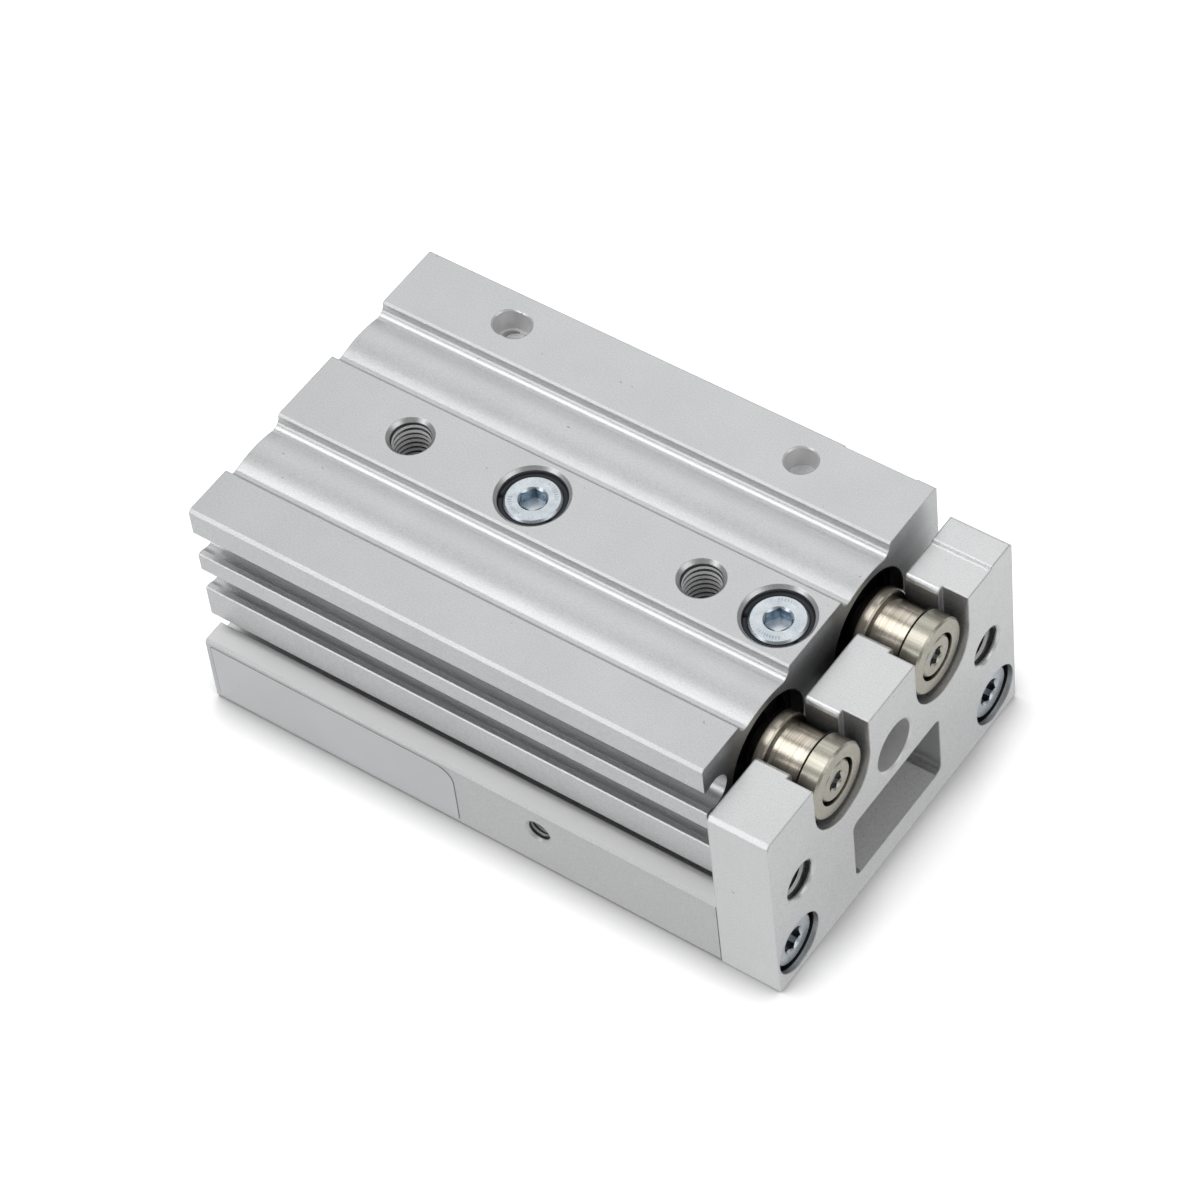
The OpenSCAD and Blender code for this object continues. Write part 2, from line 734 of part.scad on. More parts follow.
table_chamfer = 0.35;
shoulder_gap = 1.4;
guide_room = block_width / 2 + shoulder_gap;
table_half = [
    [table_side - table_chamfer, 0], [table_side, table_chamfer],
    [table_side, wall_height - table_chamfer], [table_side - table_chamfer, wall_height],
    [table_side - wall_thickness, wall_height], [table_side - wall_thickness, shoulder_height],
    [guide_room, shoulder_height], [guide_room, floor_thickness]
];
table_start = table_inset;
thread_pattern_shift = 3;
table_middle = table_start + table_length / 2 - thread_pattern_shift;
side_thread_depth = 6;
rail_start = table_start + rail_inset;
rail_screw_first = rail_start + (rail_length - 3 * rail_screw_pitch) / 2;
rail_screw_sink = 0.3;
rail_thread_floor = 0.6;
locating_pin_spacing = 2 * table_thread_spacing;
table_locating_depth = 2.8;
table_locating_reach = 0.5;
clamp_thread_depth = 11;
clamp_screw_reach = 9.5;

module table() {
    color("silver") in_frame() difference() {
        along_stroke(table_start, table_length) polygon(both_halves(table_half));
        // Threads in the mounting face
        for (step = [-1 : 1], side = [-1, 1]) {
            place = [table_middle + step * table_thread_spacing, side * table_thread_width / 2, 0];
            translate(place) mirror([0, 0, 1]) thread_up([0, 0, 0], table_thread_depth, table_thread);
        }
        // Locating holes in the mounting face, one of them elongated
        for (step = [-1, 1])
            post([table_middle + step * locating_pin_spacing / 2, 0, -over],
                 table_locating_depth + over, locating_diameter / 2);
        box([table_middle - locating_pin_spacing / 2 - table_locating_reach, -locating_diameter / 2, -over],
            [table_middle - locating_pin_spacing / 2 + table_locating_reach, locating_diameter / 2,
             table_locating_depth]);
        // Thread in the near side
        translate([plate_back - side_thread_setback, -table_side, side_thread_height]) rotate([90, 0, 0]) {
            translate([0, 0, -side_thread_depth]) cylinder(h = side_thread_depth + over, d = side_thread);
            translate([0, 0, -tooling_chamfer])
                cylinder(h = tooling_chamfer + over, r1 = side_thread / 2,
                         r2 = side_thread / 2 + tooling_chamfer + over);
        }
        // Threads for the end plate and the rail
        for (side = [-1, 1])
            bar(plate_back - clamp_thread_depth, plate_back + over, m4[0],
                side * clamp_screw_spacing / 2, clamp_screw_height);
        for (i = [0 : 3])
            post([rail_screw_first + i * rail_screw_pitch, 0, rail_thread_floor], floor_thickness, m3[0]);
    }
}

rail_foot_chamfer = 0.3;
rail_top_chamfer = 0.5;
rail_half = [
    [rail_width / 2 - rail_foot_chamfer, floor_thickness],
    [rail_width / 2, floor_thickness + rail_foot_chamfer],
    [rail_width / 2, rail_top - rail_top_chamfer], [rail_width / 2 - rail_top_chamfer, rail_top]
];
module guide_rail() {
    color("lightgray") in_frame() difference() {
        along_stroke(rail_start, rail_length) polygon(both_halves(rail_half));
        for (side = [-1, 1])
            bar(rail_start - over, rail_start + rail_length + over,
                race_radius, side * ball_offset, ball_height);
        for (i = [0 : 3]) {
            post([rail_screw_first + i * rail_screw_pitch, 0, 0], rail_top + over, m3[0] + screw_clearance);
            post([rail_screw_first + i * rail_screw_pitch, 0, rail_top - rail_screw_sink - m3[2]],
                 m3[2] + over, m3[1] + screw_clearance);
        }
    }
}

module rail_screws() {
    color("silver") in_frame() for (i = [0 : 3])
        socket_screw([rail_screw_first + i * rail_screw_pitch, 0, rail_top - rail_screw_sink], m3,
                     rail_top - rail_screw_sink - m3[2] - rail_thread_floor - screw_tip_gap);
}

// End plate outline: near edge bevelled, strip on the far wing raised
edge_bevel = 0.5;
plate_overhang = 0.15;
plate_side = table_side + plate_overhang;
small_bevel = 0.3;
plate_outline = [
    [-plate_side + small_bevel, 0], [plate_side - small_bevel, 0], [plate_side, small_bevel],
    [plate_side, plate_height + strip_rise - small_bevel],
    [plate_side - small_bevel, plate_height + strip_rise],
    [plate_side - strip_width, plate_height + strip_rise],
    [plate_side - strip_width - edge_bevel, plate_height],
    [-plate_side + edge_bevel, plate_height], [-plate_side, plate_height - edge_bevel],
    [-plate_side, small_bevel]
];

slot_round = 0.7;

// Stepped slot that takes a rod end: narrow behind, wide in front
module rod_slot(y) {
    step = plate_back + neck_slot_depth;
    top = plate_height + strip_rise;
    box([plate_back - over, y - neck_slot / 2, bore_height], [step + over, y + neck_slot / 2, top + over]);
    bar(plate_back - over, step + over, neck_slot / 2, y, bore_height);
    box([step, y - head_slot / 2, bore_height], [plate_front + over, y + head_slot / 2, top + over]);
    bar(step, plate_front + over, head_slot / 2, y, bore_height);
    for (side = [0, 1]) along_stroke(plate_back - over, neck_slot_depth + over)
        translate([y, plate_height - slot_round]) mirror([side, 0]) difference() {
            translate([neck_slot / 2 - over, 0]) square([slot_round + over, slot_round + over]);
            translate([neck_slot / 2 + slot_round, 0]) circle(r = slot_round);
        }
}

// Window over the guide, with rounded corners
window_corner = 1;
module guide_window() {
    half = window_width / 2;
    low = floor_thickness + window_corner;
    high = window_top - window_corner;
    box([plate_back - over, -half, low], [plate_front + over, half, high]);
    box([plate_back - over, -half + window_corner, floor_thickness],
        [plate_front + over, half - window_corner, window_top]);
    for (side = [-1, 1], z = [low, high])
        bar(plate_back - over, plate_front + over, window_corner, side * (half - window_corner), z);
}

tooling_chamfer = 0.3;
centre_chamfer = 0.2;
clamp_head_sink = 0.8;
clamp_pocket_radius = 3.95;
module end_plate() {
    color("silver") in_frame() difference() {
        along_stroke(plate_back, plate_thickness) polygon(plate_outline);
        for (y = [-half_pitch, half_pitch]) rod_slot(y);
        guide_window();
        bar(plate_back - over, plate_front + over, centre_bore / 2, 0, centre_bore_height);
        bar(plate_front - centre_chamfer, plate_front + over, centre_bore / 2,
            0, centre_bore_height, centre_bore / 2 + centre_chamfer + over);
        for (side = [-1, 1]) {
            bar(plate_back - over, plate_front + over, tooling_thread / 2,
                side * tooling_spacing / 2, tooling_height);
            bar(plate_front - tooling_chamfer, plate_front + over, tooling_thread / 2,
                side * tooling_spacing / 2, tooling_height, tooling_thread / 2 + tooling_chamfer + over);
            bar(plate_back - over, plate_front, m4[0] + screw_clearance,
                side * clamp_screw_spacing / 2, clamp_screw_height);
            bar(plate_front - clamp_head_sink - m4[2], plate_front + over, clamp_pocket_radius,
                side * clamp_screw_spacing / 2, clamp_screw_height);
        }
    }
}

module end_plate_screws() {
    shank = plate_thickness - clamp_head_sink - m4[2] + clamp_screw_reach;
    color("silver") in_frame() for (side = [-1, 1])
        socket_screw_front([plate_front - clamp_head_sink, side * clamp_screw_spacing / 2,
                            clamp_screw_height], m4, shank);
}

// Pistons, rods and rod ends

rod_inset = 6;
module piston_rod(y) {
    color("gainsboro") in_frame() difference() {
        bar(piston_end - rod_inset, rod_end + rod_spigot, rod_diameter / 2, y, bore_height);
        bar(rod_end - rod_thread_depth, rod_end + rod_spigot + over, m4[0], y, bore_height);
    }
}
module piston_rod_near() { piston_rod(-half_pitch); }
module piston_rod_far() { piston_rod(half_pitch); }

// Piston with three ring grooves: their start, length and floor radius
piston_clearance = 0.35;
piston_chamfer = 0.3;
piston_nose = 2;
nose_step = 1.4;
magnet_gap = 0.1;
piston_radius = bore_diameter / 2 - piston_clearance;
wear_groove = [piston_start + 3.2, 2.4, bore_diameter / 2 - 1.1];
seal_groove = [piston_start + 7.2, 2.2, bore_diameter / 2 - 1.8];
magnet_groove = [piston_start + 11, 3, bore_diameter / 2 - 1.6];
module piston(y) {
    color("silver") in_frame() difference() {
        union() {
            ring(piston_start + piston_nose, piston_end, 0, piston_radius, y, bore_height, piston_chamfer);
            bar(piston_start, piston_start + piston_nose + over,
                bore_diameter / 2 - nose_step, y, bore_height);
        }
        for (groove = [wear_groove, seal_groove, magnet_groove]) difference() {
            bar(groove[0], groove[0] + groove[1], bore_diameter, y, bore_height);
            bar(groove[0] - over, groove[0] + groove[1] + over, groove[2], y, bore_height);
        }
        bar(piston_end - rod_inset, piston_end + over, rod_diameter / 2, y, bore_height);
    }
}
module piston_near() { piston(-half_pitch); }
module piston_far() { piston(half_pitch); }

module piston_ring(groove, outer) {
    in_frame() for (y = [-half_pitch, half_pitch])
        ring(groove[0], groove[0] + groove[1], groove[2], outer, y, bore_height);
}
module piston_seals() { color("black") piston_ring(seal_groove, bore_diameter / 2 - running); }
module piston_magnets() { color("dimgray") piston_ring(magnet_groove, piston_radius - magnet_gap); }
module piston_wear_rings() { color("ivory") piston_ring(wear_groove, bore_diameter / 2 - running); }

// Collar behind the plate and the neck that fills the rod slot's rear part.
// Its rear end narrows in two steps, each a step in and a length along the stroke.
collar_nose = [[1.1, 0], [0.35, 0.5], [0, 1.3]];
collar_chamfer = 0.2;
module rod_collar(y) {
    radius = collar_diameter / 2;
    neck = neck_diameter / 2;
    color("tan") in_frame() difference() {
        translate([rod_end, y, bore_height]) rotate([0, 90, 0]) rotate_extrude() polygon([
            [0, 0], for (step = collar_nose) [radius - step[0], step[1]],
            [radius, collar_length - collar_chamfer], [radius - collar_chamfer, collar_length],
            [neck, collar_length], [neck, collar_length + neck_slot_depth],
            [0, collar_length + neck_slot_depth]
        ]);
        bar(rod_end - over, rod_end + rod_spigot, rod_diameter / 2, y, bore_height);
        bar(rod_end, disc_start + over, rod_screw_hole_radius, y, bore_height);
    }
}
module rod_collar_near() { rod_collar(-half_pitch); }
module rod_collar_far() { rod_collar(half_pitch); }

// Clamping disc with the recess for its screw
disc_chamfer = 0.25;
module rod_disc(y) {
    radius = disc_diameter / 2;
    recess_floor = disc_thickness - screw_recess_depth;
    color("tan") in_frame() translate([disc_start, y, bore_height]) rotate([0, 90, 0])
        rotate_extrude() polygon([
        [rod_screw_hole_radius, 0], [radius - disc_chamfer, 0], [radius, disc_chamfer],
        [radius, disc_thickness - disc_chamfer], [radius - disc_chamfer, disc_thickness],
        [screw_recess_radius, disc_thickness], [screw_recess_radius, recess_floor],
        [rod_screw_hole_radius, recess_floor]
    ]);
}
module rod_disc_near() { rod_disc(-half_pitch); }
module rod_disc_far() { rod_disc(half_pitch); }

// Screws of the rod ends: room round the head, sink below the disc, hexagon and reach into the rod
rod_screw_gap = 0.35;
rod_screw_sink = 0.1;
rod_screw_hexagon = 2.2;
rod_screw_reach = 5;
module rod_end_screws() {
    head = [m4[0], screw_recess_radius - rod_screw_gap,
            screw_recess_depth - rod_screw_sink, rod_screw_hexagon];
    face = disc_start + disc_thickness - rod_screw_sink;
    color("tan") in_frame() for (y = [-half_pitch, half_pitch])
        socket_screw_front([face, y, bore_height], head, face - head[2] - rod_end + rod_screw_reach);
}

cylinder_body();
rod_cover_near();
rod_cover_far();
cover_seal_rings();
rod_seals();
cover_retaining_rings();
front_bumpers();
head_cap_near();
head_cap_far();
head_cap_seal_rings();
head_cap_retaining_rings();
rear_bumpers();
guide_block();
block_end_cap_rear();
block_end_cap_front();
block_wipers();
end_cap_screws();
guide_balls();
block_screws();
table();
guide_rail();
rail_screws();
end_plate();
end_plate_screws();
piston_rod_near();
piston_rod_far();
piston_near();
piston_far();
piston_seals();
piston_magnets();
piston_wear_rings();
rod_collar_near();
rod_collar_far();
rod_disc_near();
rod_disc_far();
rod_end_screws();
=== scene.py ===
import math

import bmesh
import bpy
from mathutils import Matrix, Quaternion, Vector


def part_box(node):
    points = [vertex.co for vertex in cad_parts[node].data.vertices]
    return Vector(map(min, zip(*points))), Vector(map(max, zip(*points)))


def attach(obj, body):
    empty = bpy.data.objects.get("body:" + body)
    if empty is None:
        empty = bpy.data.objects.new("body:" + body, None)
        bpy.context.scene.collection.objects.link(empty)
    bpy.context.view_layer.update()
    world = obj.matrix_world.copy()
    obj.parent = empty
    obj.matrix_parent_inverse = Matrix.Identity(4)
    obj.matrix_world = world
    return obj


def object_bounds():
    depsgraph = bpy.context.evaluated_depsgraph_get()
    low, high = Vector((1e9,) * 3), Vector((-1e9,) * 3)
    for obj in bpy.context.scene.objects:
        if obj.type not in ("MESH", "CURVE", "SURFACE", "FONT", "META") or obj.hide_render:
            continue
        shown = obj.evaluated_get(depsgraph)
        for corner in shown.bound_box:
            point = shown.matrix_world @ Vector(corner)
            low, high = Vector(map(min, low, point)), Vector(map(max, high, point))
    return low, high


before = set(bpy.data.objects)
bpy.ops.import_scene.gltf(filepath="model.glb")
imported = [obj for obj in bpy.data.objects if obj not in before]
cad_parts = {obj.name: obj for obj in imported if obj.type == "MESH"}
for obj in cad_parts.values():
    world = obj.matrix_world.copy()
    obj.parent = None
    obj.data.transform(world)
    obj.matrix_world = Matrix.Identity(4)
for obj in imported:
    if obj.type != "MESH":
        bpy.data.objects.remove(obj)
cadLow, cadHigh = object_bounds()
mm = 0.001
print("frame in, part is", [round((b - a) / mm, 2) for a, b in zip(cadLow, cadHigh)], "mm")


# Places taken from the CAD boxes
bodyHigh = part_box("cylinder_body")[1]
tableLow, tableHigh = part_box("table")
plateLow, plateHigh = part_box("end_plate")
screwLow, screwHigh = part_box("block_screws")
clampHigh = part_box("end_plate_screws")[1]
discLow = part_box("rod_disc_near")[0]
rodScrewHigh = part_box("rod_end_screws")[1]

# Middles of the holes and screws, as in the CAD
holes = {
    "bodyX": (-25.48 * mm, 15.52 * mm),
    "locatingY": 20.35 * mm,
    "portX": (-33.48 * mm, 23.52 * mm),
    "boreY": (-10.3 * mm, 10.3 * mm),
    "boreZ": 22.75 * mm,
    "sideX": 7.68 * mm,
    "sideZ": 6.8 * mm,
    "toolingY": (-19.4 * mm, 19.4 * mm),
    "toolingZ": 15.2 * mm,
    "clampY": (-20.7 * mm, 20.7 * mm),
    "clampZ": 4.7 * mm,
    "centreZ": 18.2 * mm,
}


# Camera
viewer = {
    "azimuth": 40.82,
    "elevation": 50.89,
    "roll": -7.44,
    "distance": 565.5 * mm,
    "aim": (-1.0 * mm, 1.3 * mm, 16 * mm),
    "lens": 145.265,
    "sensor": 36,
    "clip": 10 * mm,
}


def placeCamera(look):
    a, e = math.radians(look["azimuth"]), math.radians(look["elevation"])
    back = Vector((math.sin(a) * math.cos(e), -math.cos(a) * math.cos(e), math.sin(e)))
    data = bpy.data.cameras.new("viewer")
    data.lens = look["lens"]
    data.sensor_width = look["sensor"]
    data.clip_start = look["clip"]
    cam = bpy.data.objects.new("viewer", data)
    bpy.context.scene.collection.objects.link(cam)
    cam.rotation_mode = "QUATERNION"
    roll = Quaternion((0, 0, 1), math.radians(look["roll"]))
    cam.rotation_quaternion = (-back).to_track_quat("-Z", "Y") @ roll
    cam.location = Vector(look["aim"]) + back * look["distance"]
    bpy.context.scene.camera = cam


placeCamera(viewer)
print("camera set")


# Node helpers
# The part of its range over which each value makes its change
noiseSpan = (0.3, 0.7)
ringSpan = (0.25, 0.75)
stainSpan = (0.4, 0.75)
dustSpan = (0.58, 0.78)
upSpan = (0.85, 0.95)


def emptyMaterial(name):
    mat = bpy.data.materials.new(name)
    mat.use_nodes = True
    tree = mat.node_tree
    tree.nodes.clear()
    out = tree.nodes.new("ShaderNodeOutputMaterial")
    shader = tree.nodes.new("ShaderNodeBsdfPrincipled")
    tree.links.new(shader.outputs[0], out.inputs[0])
    return mat, tree, shader


def place(tree, stretch=(1, 1, 1)):
    coord = tree.nodes.new("ShaderNodeTexCoord")
    mapping = tree.nodes.new("ShaderNodeMapping")
    mapping.inputs["Scale"].default_value = stretch
    tree.links.new(coord.outputs["Object"], mapping.inputs[0])
    return mapping.outputs[0]


def noise(tree, where, size, detail=3, rough=0.55):
    node = tree.nodes.new("ShaderNodeTexNoise")
    node.inputs["Scale"].default_value = 1 / size
    node.inputs["Detail"].default_value = detail
    node.inputs["Roughness"].default_value = rough
    tree.links.new(where, node.inputs["Vector"])
    return node.outputs["Fac"]


def ramp(tree, value, low, high, first, last):
    node = tree.nodes.new("ShaderNodeMapRange")
    for key, number in (("From Min", low), ("From Max", high), ("To Min", first), ("To Max", last)):
        node.inputs[key].default_value = number
    tree.links.new(value, node.inputs["Value"])
    return node.outputs["Result"]


def sums(tree, kind, a, b):
    node = tree.nodes.new("ShaderNodeMath")
    node.operation = kind
    for slot, item in zip(node.inputs, (a, b)):
        if isinstance(item, (int, float)):
            slot.default_value = item
        else:
            tree.links.new(item, slot)
    return node.outputs[0]


def blend(tree, factor, a, b):
    node = tree.nodes.new("ShaderNodeMix")
    node.data_type = "RGBA"
    tree.links.new(factor, node.inputs[0])
    for slot, item in zip((node.inputs[6], node.inputs[7]), (a, b)):
        if isinstance(item, tuple):
            slot.default_value = (*item, 1)
        else:
            tree.links.new(item, slot)
    return node.outputs[2]


def relief(tree, height, strength, depth, before=None):
    node = tree.nodes.new("ShaderNodeBump")
    node.inputs["Strength"].default_value = strength
    node.inputs["Distance"].default_value = depth
    tree.links.new(height, node.inputs["Height"])
    if before is not None:
        tree.links.new(before, node.inputs["Normal"])
    return node.outputs[0]


def softEdge(tree, radius):
    node = tree.nodes.new("ShaderNodeBevel")
    node.samples = 6
    node.inputs["Radius"].default_value = radius
    return node.outputs[0]


# Painted shade: darkens the colour in narrow gaps, by how hidden each point is
def gapShade(tree, colour, look):
    if not look.get("crevice"):
        return colour
    hidden = tree.nodes.new("ShaderNodeAmbientOcclusion")
    hidden.samples = 12
    hidden.inputs["Distance"].default_value = look["crevice"]
    dark, clear = look["creviceDark"], look["creviceClear"]
    shade = ramp(tree, hidden.outputs["AO"], dark, clear, look["creviceTone"], 0)
    return blend(tree, shade, colour, look["creviceColour"])


# Roughness that varies a little with the grain
def unevenRough(tree, grain, rough, spread):
    return ramp(tree, grain, *noiseSpan, rough - spread, rough + spread)


# How far a face looks up, from nothing to the given value
def upward(tree, most):
    face = tree.nodes.new("ShaderNodeNewGeometry")
    split = tree.nodes.new("ShaderNodeSeparateXYZ")
    tree.links.new(face.outputs["Normal"], split.inputs[0])
    return ramp(tree, split.outputs["Z"], *upSpan, 0, most)


# Leans the light on upward faces to the near side, which keeps the table's lip out of the body's shade
def leanOut(tree, normal, lean):
    offset = tree.nodes.new("ShaderNodeCombineXYZ")
    tree.links.new(upward(tree, -lean), offset.inputs["Y"])
    total = tree.nodes.new("ShaderNodeVectorMath")
    total.operation = "ADD"
    tree.links.new(normal, total.inputs[0])
    tree.links.new(offset.outputs[0], total.inputs[1])
    unit = tree.nodes.new("ShaderNodeVectorMath")
    unit.operation = "NORMALIZE"
    tree.links.new(total.outputs[0], unit.inputs[0])
    return unit.outputs[0]


# Finishes
# A blasted or machined metal: fine grain, slow clouding, a few pores, and rounded light on sharp edges, with
# painted shade in narrow gaps and, where the look asks, a painted colour on upward faces
def grainedMetal(name, look):
    mat, tree, shader = emptyMaterial(name)
    where = place(tree)
    grain = noise(tree, where, look["grain"], detail=2, rough=0.6)
    cloud = noise(tree, where, look["cloud"], detail=3, rough=0.5)
    pores = noise(tree, where, look["pore"], detail=2, rough=0.4)
    tone = sums(tree, "ADD", ramp(tree, grain, *noiseSpan, -look["grainTone"], look["grainTone"]),
                ramp(tree, cloud, *noiseSpan, 0.5 - look["cloudTone"], 0.5 + look["cloudTone"]))
    colour = blend(tree, tone, look["dark"], look["light"])
    pit = ramp(tree, pores, look["poreFrom"], look["poreFrom"] + look["poreBlur"], 0, 1)
    colour = blend(tree, pit, colour, look["poreColour"])
    # Painted light: upward faces take a flat colour of their own, set for how bright the table's lip looks
    if look.get("paintedTopColour"):
        colour = blend(tree, upward(tree, look["paintedTopShare"]), colour, look["paintedTopColour"])
    colour = gapShade(tree, colour, look)
    height = grain
    if look.get("brush"):
        along = place(tree, look["brush"])
        streak = noise(tree, along, look["streak"], detail=3, rough=0.6)
        colour = blend(tree, ramp(tree, streak, *noiseSpan, 0, look["streakTone"]), colour, look["dark"])
        height = sums(tree, "ADD", grain, sums(tree, "MULTIPLY", streak, look["streakDepth"]))
    tree.links.new(colour, shader.inputs["Base Color"])
    tree.links.new(unevenRough(tree, grain, look["rough"], spread=0.05), shader.inputs["Roughness"])
    shader.inputs["Metallic"].default_value = look["metallic"]
    edges = softEdge(tree, look["edge"]) if look["edge"] else None
    normal = relief(tree, height, look["bump"], look["depth"], edges)
    if look.get("cutLean"):
        normal = leanOut(tree, normal, look["cutLean"])
    tree.links.new(normal, shader.inputs["Normal"])
    return mat


# A lathe-turned metal: fine rings, faint stains and rounded light on sharp edges, with painted shade in
# narrow gaps
def turnedMetal(name, look):
    mat, tree, shader = emptyMaterial(name)
    where = place(tree)
    grain = noise(tree, where, look["grain"], detail=3, rough=0.6)
    rings = noise(tree, place(tree, look["along"]), look["ring"], detail=2, rough=0.6)
    colour = blend(tree, ramp(tree, rings, *ringSpan, 0, 1), look["dark"], look["light"])
    stain = noise(tree, where, look["stain"], detail=3, rough=0.5)
    colour = blend(tree, ramp(tree, stain, *stainSpan, 0, look["stainTone"]), colour, look["stainColour"])
    colour = gapShade(tree, colour, look)
    tree.links.new(colour, shader.inputs["Base Color"])
    tree.links.new(unevenRough(tree, grain, look["rough"], spread=0.06), shader.inputs["Roughness"])
    shader.inputs["Metallic"].default_value = look["metallic"]
    edges = softEdge(tree, look["edge"]) if look["edge"] else None
    height = sums(tree, "ADD", sums(tree, "MULTIPLY", rings, look["ringDepth"]), grain)
    tree.links.new(relief(tree, height, look["bump"], look["depth"], edges), shader.inputs["Normal"])
    return mat


# A dark moulded or black-finished surface
def darkMatt(name, look):
    mat, tree, shader = emptyMaterial(name)
    where = place(tree)
    grain = noise(tree, where, look["grain"], detail=3, rough=0.6)
    dust = noise(tree, where, look["dust"], detail=4, rough=0.6)
    colour = blend(tree, ramp(tree, grain, *noiseSpan, 0, 1), look["dark"], look["light"])
    colour = blend(tree, ramp(tree, dust, *dustSpan, 0, look["dustTone"]), colour, look["dustColour"])
    tree.links.new(colour, shader.inputs["Base Color"])
    tree.links.new(unevenRough(tree, grain, look["rough"], spread=0.06), shader.inputs["Roughness"])
    shader.inputs["Metallic"].default_value = look["metallic"]
    tree.links.new(relief(tree, grain, look["bump"], look["depth"]), shader.inputs["Normal"])
    return mat


anodisedLook = {
    "grain": 0.2 * mm, "cloud": 7 * mm, "pore": 0.9 * mm, "poreFrom": 0.78,
    "poreBlur": 0.03, "grainTone": 0.5, "cloudTone": 0.1,
    "dark": (0.49, 0.50, 0.505), "light": (0.62, 0.625, 0.63), "poreColour": (0.30, 0.30, 0.31),
    "rough": 0.34, "metallic": 0.9, "edge": 0.12 * mm, "bump": 0.4, "depth": 0.03 * mm,
    # The crevice values set the painted shade in narrow gaps
    "crevice": 4 * mm, "creviceDark": 0.08, "creviceClear": 0.3, "creviceTone": 0.7,
    "creviceColour": (0.09, 0.09, 0.092),
}
milledLook = dict(anodisedLook, **{
    "dark": (0.53, 0.535, 0.54), "light": (0.66, 0.665, 0.67), "rough": 0.38, "metallic": 0.45,
    # Painted shade in the deep gaps of the table, such as under the body
    "crevice": 7 * mm, "creviceDark": 0.2, "creviceClear": 0.27, "creviceTone": 1,
    # Painted light: a flat colour on upward faces, set for the table's lip
    "paintedTopColour": (0.54, 0.54, 0.54), "paintedTopShare": 0.85, "cutLean": 0.27,
    "brush": (1, 0.12, 1), "streak": 0.35 * mm, "streakTone": 0.25, "streakDepth": 0.4,
})
plateLook = dict(milledLook, **{
    "dark": (0.58, 0.585, 0.59), "light": (0.73, 0.735, 0.74),
    "brush": (1, 1, 0.12), "edge": 0.3 * mm, "metallic": 0.8,
    "rough": 0.32, "creviceDark": 0.02, "creviceClear": 0.12, "paintedTopColour": None, "cutLean": 0,
})
zincLook = dict(anodisedLook, **{
    "crevice": 0,
    "grain": 0.07 * mm, "cloud": 1.4 * mm, "pore": 0.9 * mm, "grainTone": 0.3, "cloudTone": 0.3,
    "dark": (0.40, 0.445, 0.485), "light": (0.64, 0.685, 0.72), "poreColour": (0.2, 0.22, 0.25),
    "rough": 0.27, "metallic": 0.96, "edge": 0.05 * mm, "bump": 0.3, "depth": 0.02 * mm,
})
groundLook = dict(anodisedLook, **{
    "crevice": 0,
    "grain": 0.05 * mm, "dark": (0.42, 0.42, 0.42), "light": (0.56, 0.56, 0.55),
    "rough": 0.3, "metallic": 0.97,
    "edge": 0.1 * mm, "brush": (0.05, 1, 1), "streak": 0.12 * mm, "streakTone": 0.4, "streakDepth": 0.7,
})
champagneLook = {
    "grain": 0.06 * mm, "ring": 0.16 * mm, "along": (1, 0.02, 0.02), "stain": 2.2 * mm, "stainTone": 0.2,
    "dark": (0.37, 0.335, 0.27), "light": (0.64, 0.595, 0.515), "stainColour": (0.29, 0.26, 0.20),
    "rough": 0.22, "metallic": 0.97, "edge": 0.08 * mm, "ringDepth": 0.5, "bump": 0.25, "depth": 0.02 * mm,
    # Painted shade in narrow gaps, near black
    "crevice": 4 * mm, "creviceDark": 0.15, "creviceClear": 0.66, "creviceTone": 0.85,
    "creviceColour": (0.05, 0.04, 0.03),
}
champagneFaceLook = dict(champagneLook, **{
    "along": (0.02, 1, 1), "ring": 0.3 * mm, "rough": 0.3, "bump": 0.18, "dark": (0.365, 0.35, 0.295),
    "light": (0.51, 0.49, 0.425),
})
chromeLook = dict(champagneLook, **{
    "dark": (0.60, 0.60, 0.61), "light": (0.74, 0.74, 0.75),
    "stainColour": (0.5, 0.5, 0.5), "stainTone": 0.15, "rough": 0.1,
    "bump": 0.08,
})
turnedLook = dict(champagneLook, **{
    "dark": (0.50, 0.50, 0.50), "light": (0.68, 0.68, 0.68), "stainColour": (0.42, 0.42, 0.42), "rough": 0.33,
})
springLook = dict(champagneLook, **{
    "dark": (0.05, 0.05, 0.055), "light": (0.12, 0.12, 0.125),
    "stainColour": (0.04, 0.035, 0.03), "rough": 0.35,
})
blackLook = {
    "grain": 0.08 * mm, "dust": 1.6 * mm, "dark": (0.006, 0.006, 0.007), "light": (0.016, 0.016, 0.018),
    "dustTone": 0.1, "dustColour": (0.05, 0.05, 0.05),
    "rough": 0.38, "metallic": 0.3, "bump": 0.2, "depth": 0.02 * mm,
}
rubberLook = dict(blackLook, **{"rough": 0.62, "metallic": 0, "light": (0.022, 0.022, 0.023)})
# Near black: painted shade in the gaps round the block screws
screwGapLook = dict(blackLook, **{
    "dark": (0.005, 0.006, 0.010), "light": (0.012, 0.014, 0.022),
    "rough": 0.5, "metallic": 0, "dustTone": 0.03,
})
greenLook = dict(blackLook, **{
    "dark": (0.03, 0.08, 0.04), "light": (0.05, 0.13, 0.06), "rough": 0.5, "metallic": 0,
})
plasticLook = dict(blackLook, **{
    "dark": (0.022, 0.022, 0.025), "light": (0.04, 0.04, 0.043), "rough": 0.5, "metallic": 0,
})
magnetLook = dict(blackLook, **{
    "dark": (0.04, 0.04, 0.04), "light": (0.08, 0.08, 0.08), "rough": 0.6, "metallic": 0.2,
})
wearLook = dict(blackLook, **{
    "dark": (0.62, 0.59, 0.5), "light": (0.76, 0.73, 0.63), "rough": 0.5, "metallic": 0,
    "dustColour": (0.5, 0.46, 0.38),
})

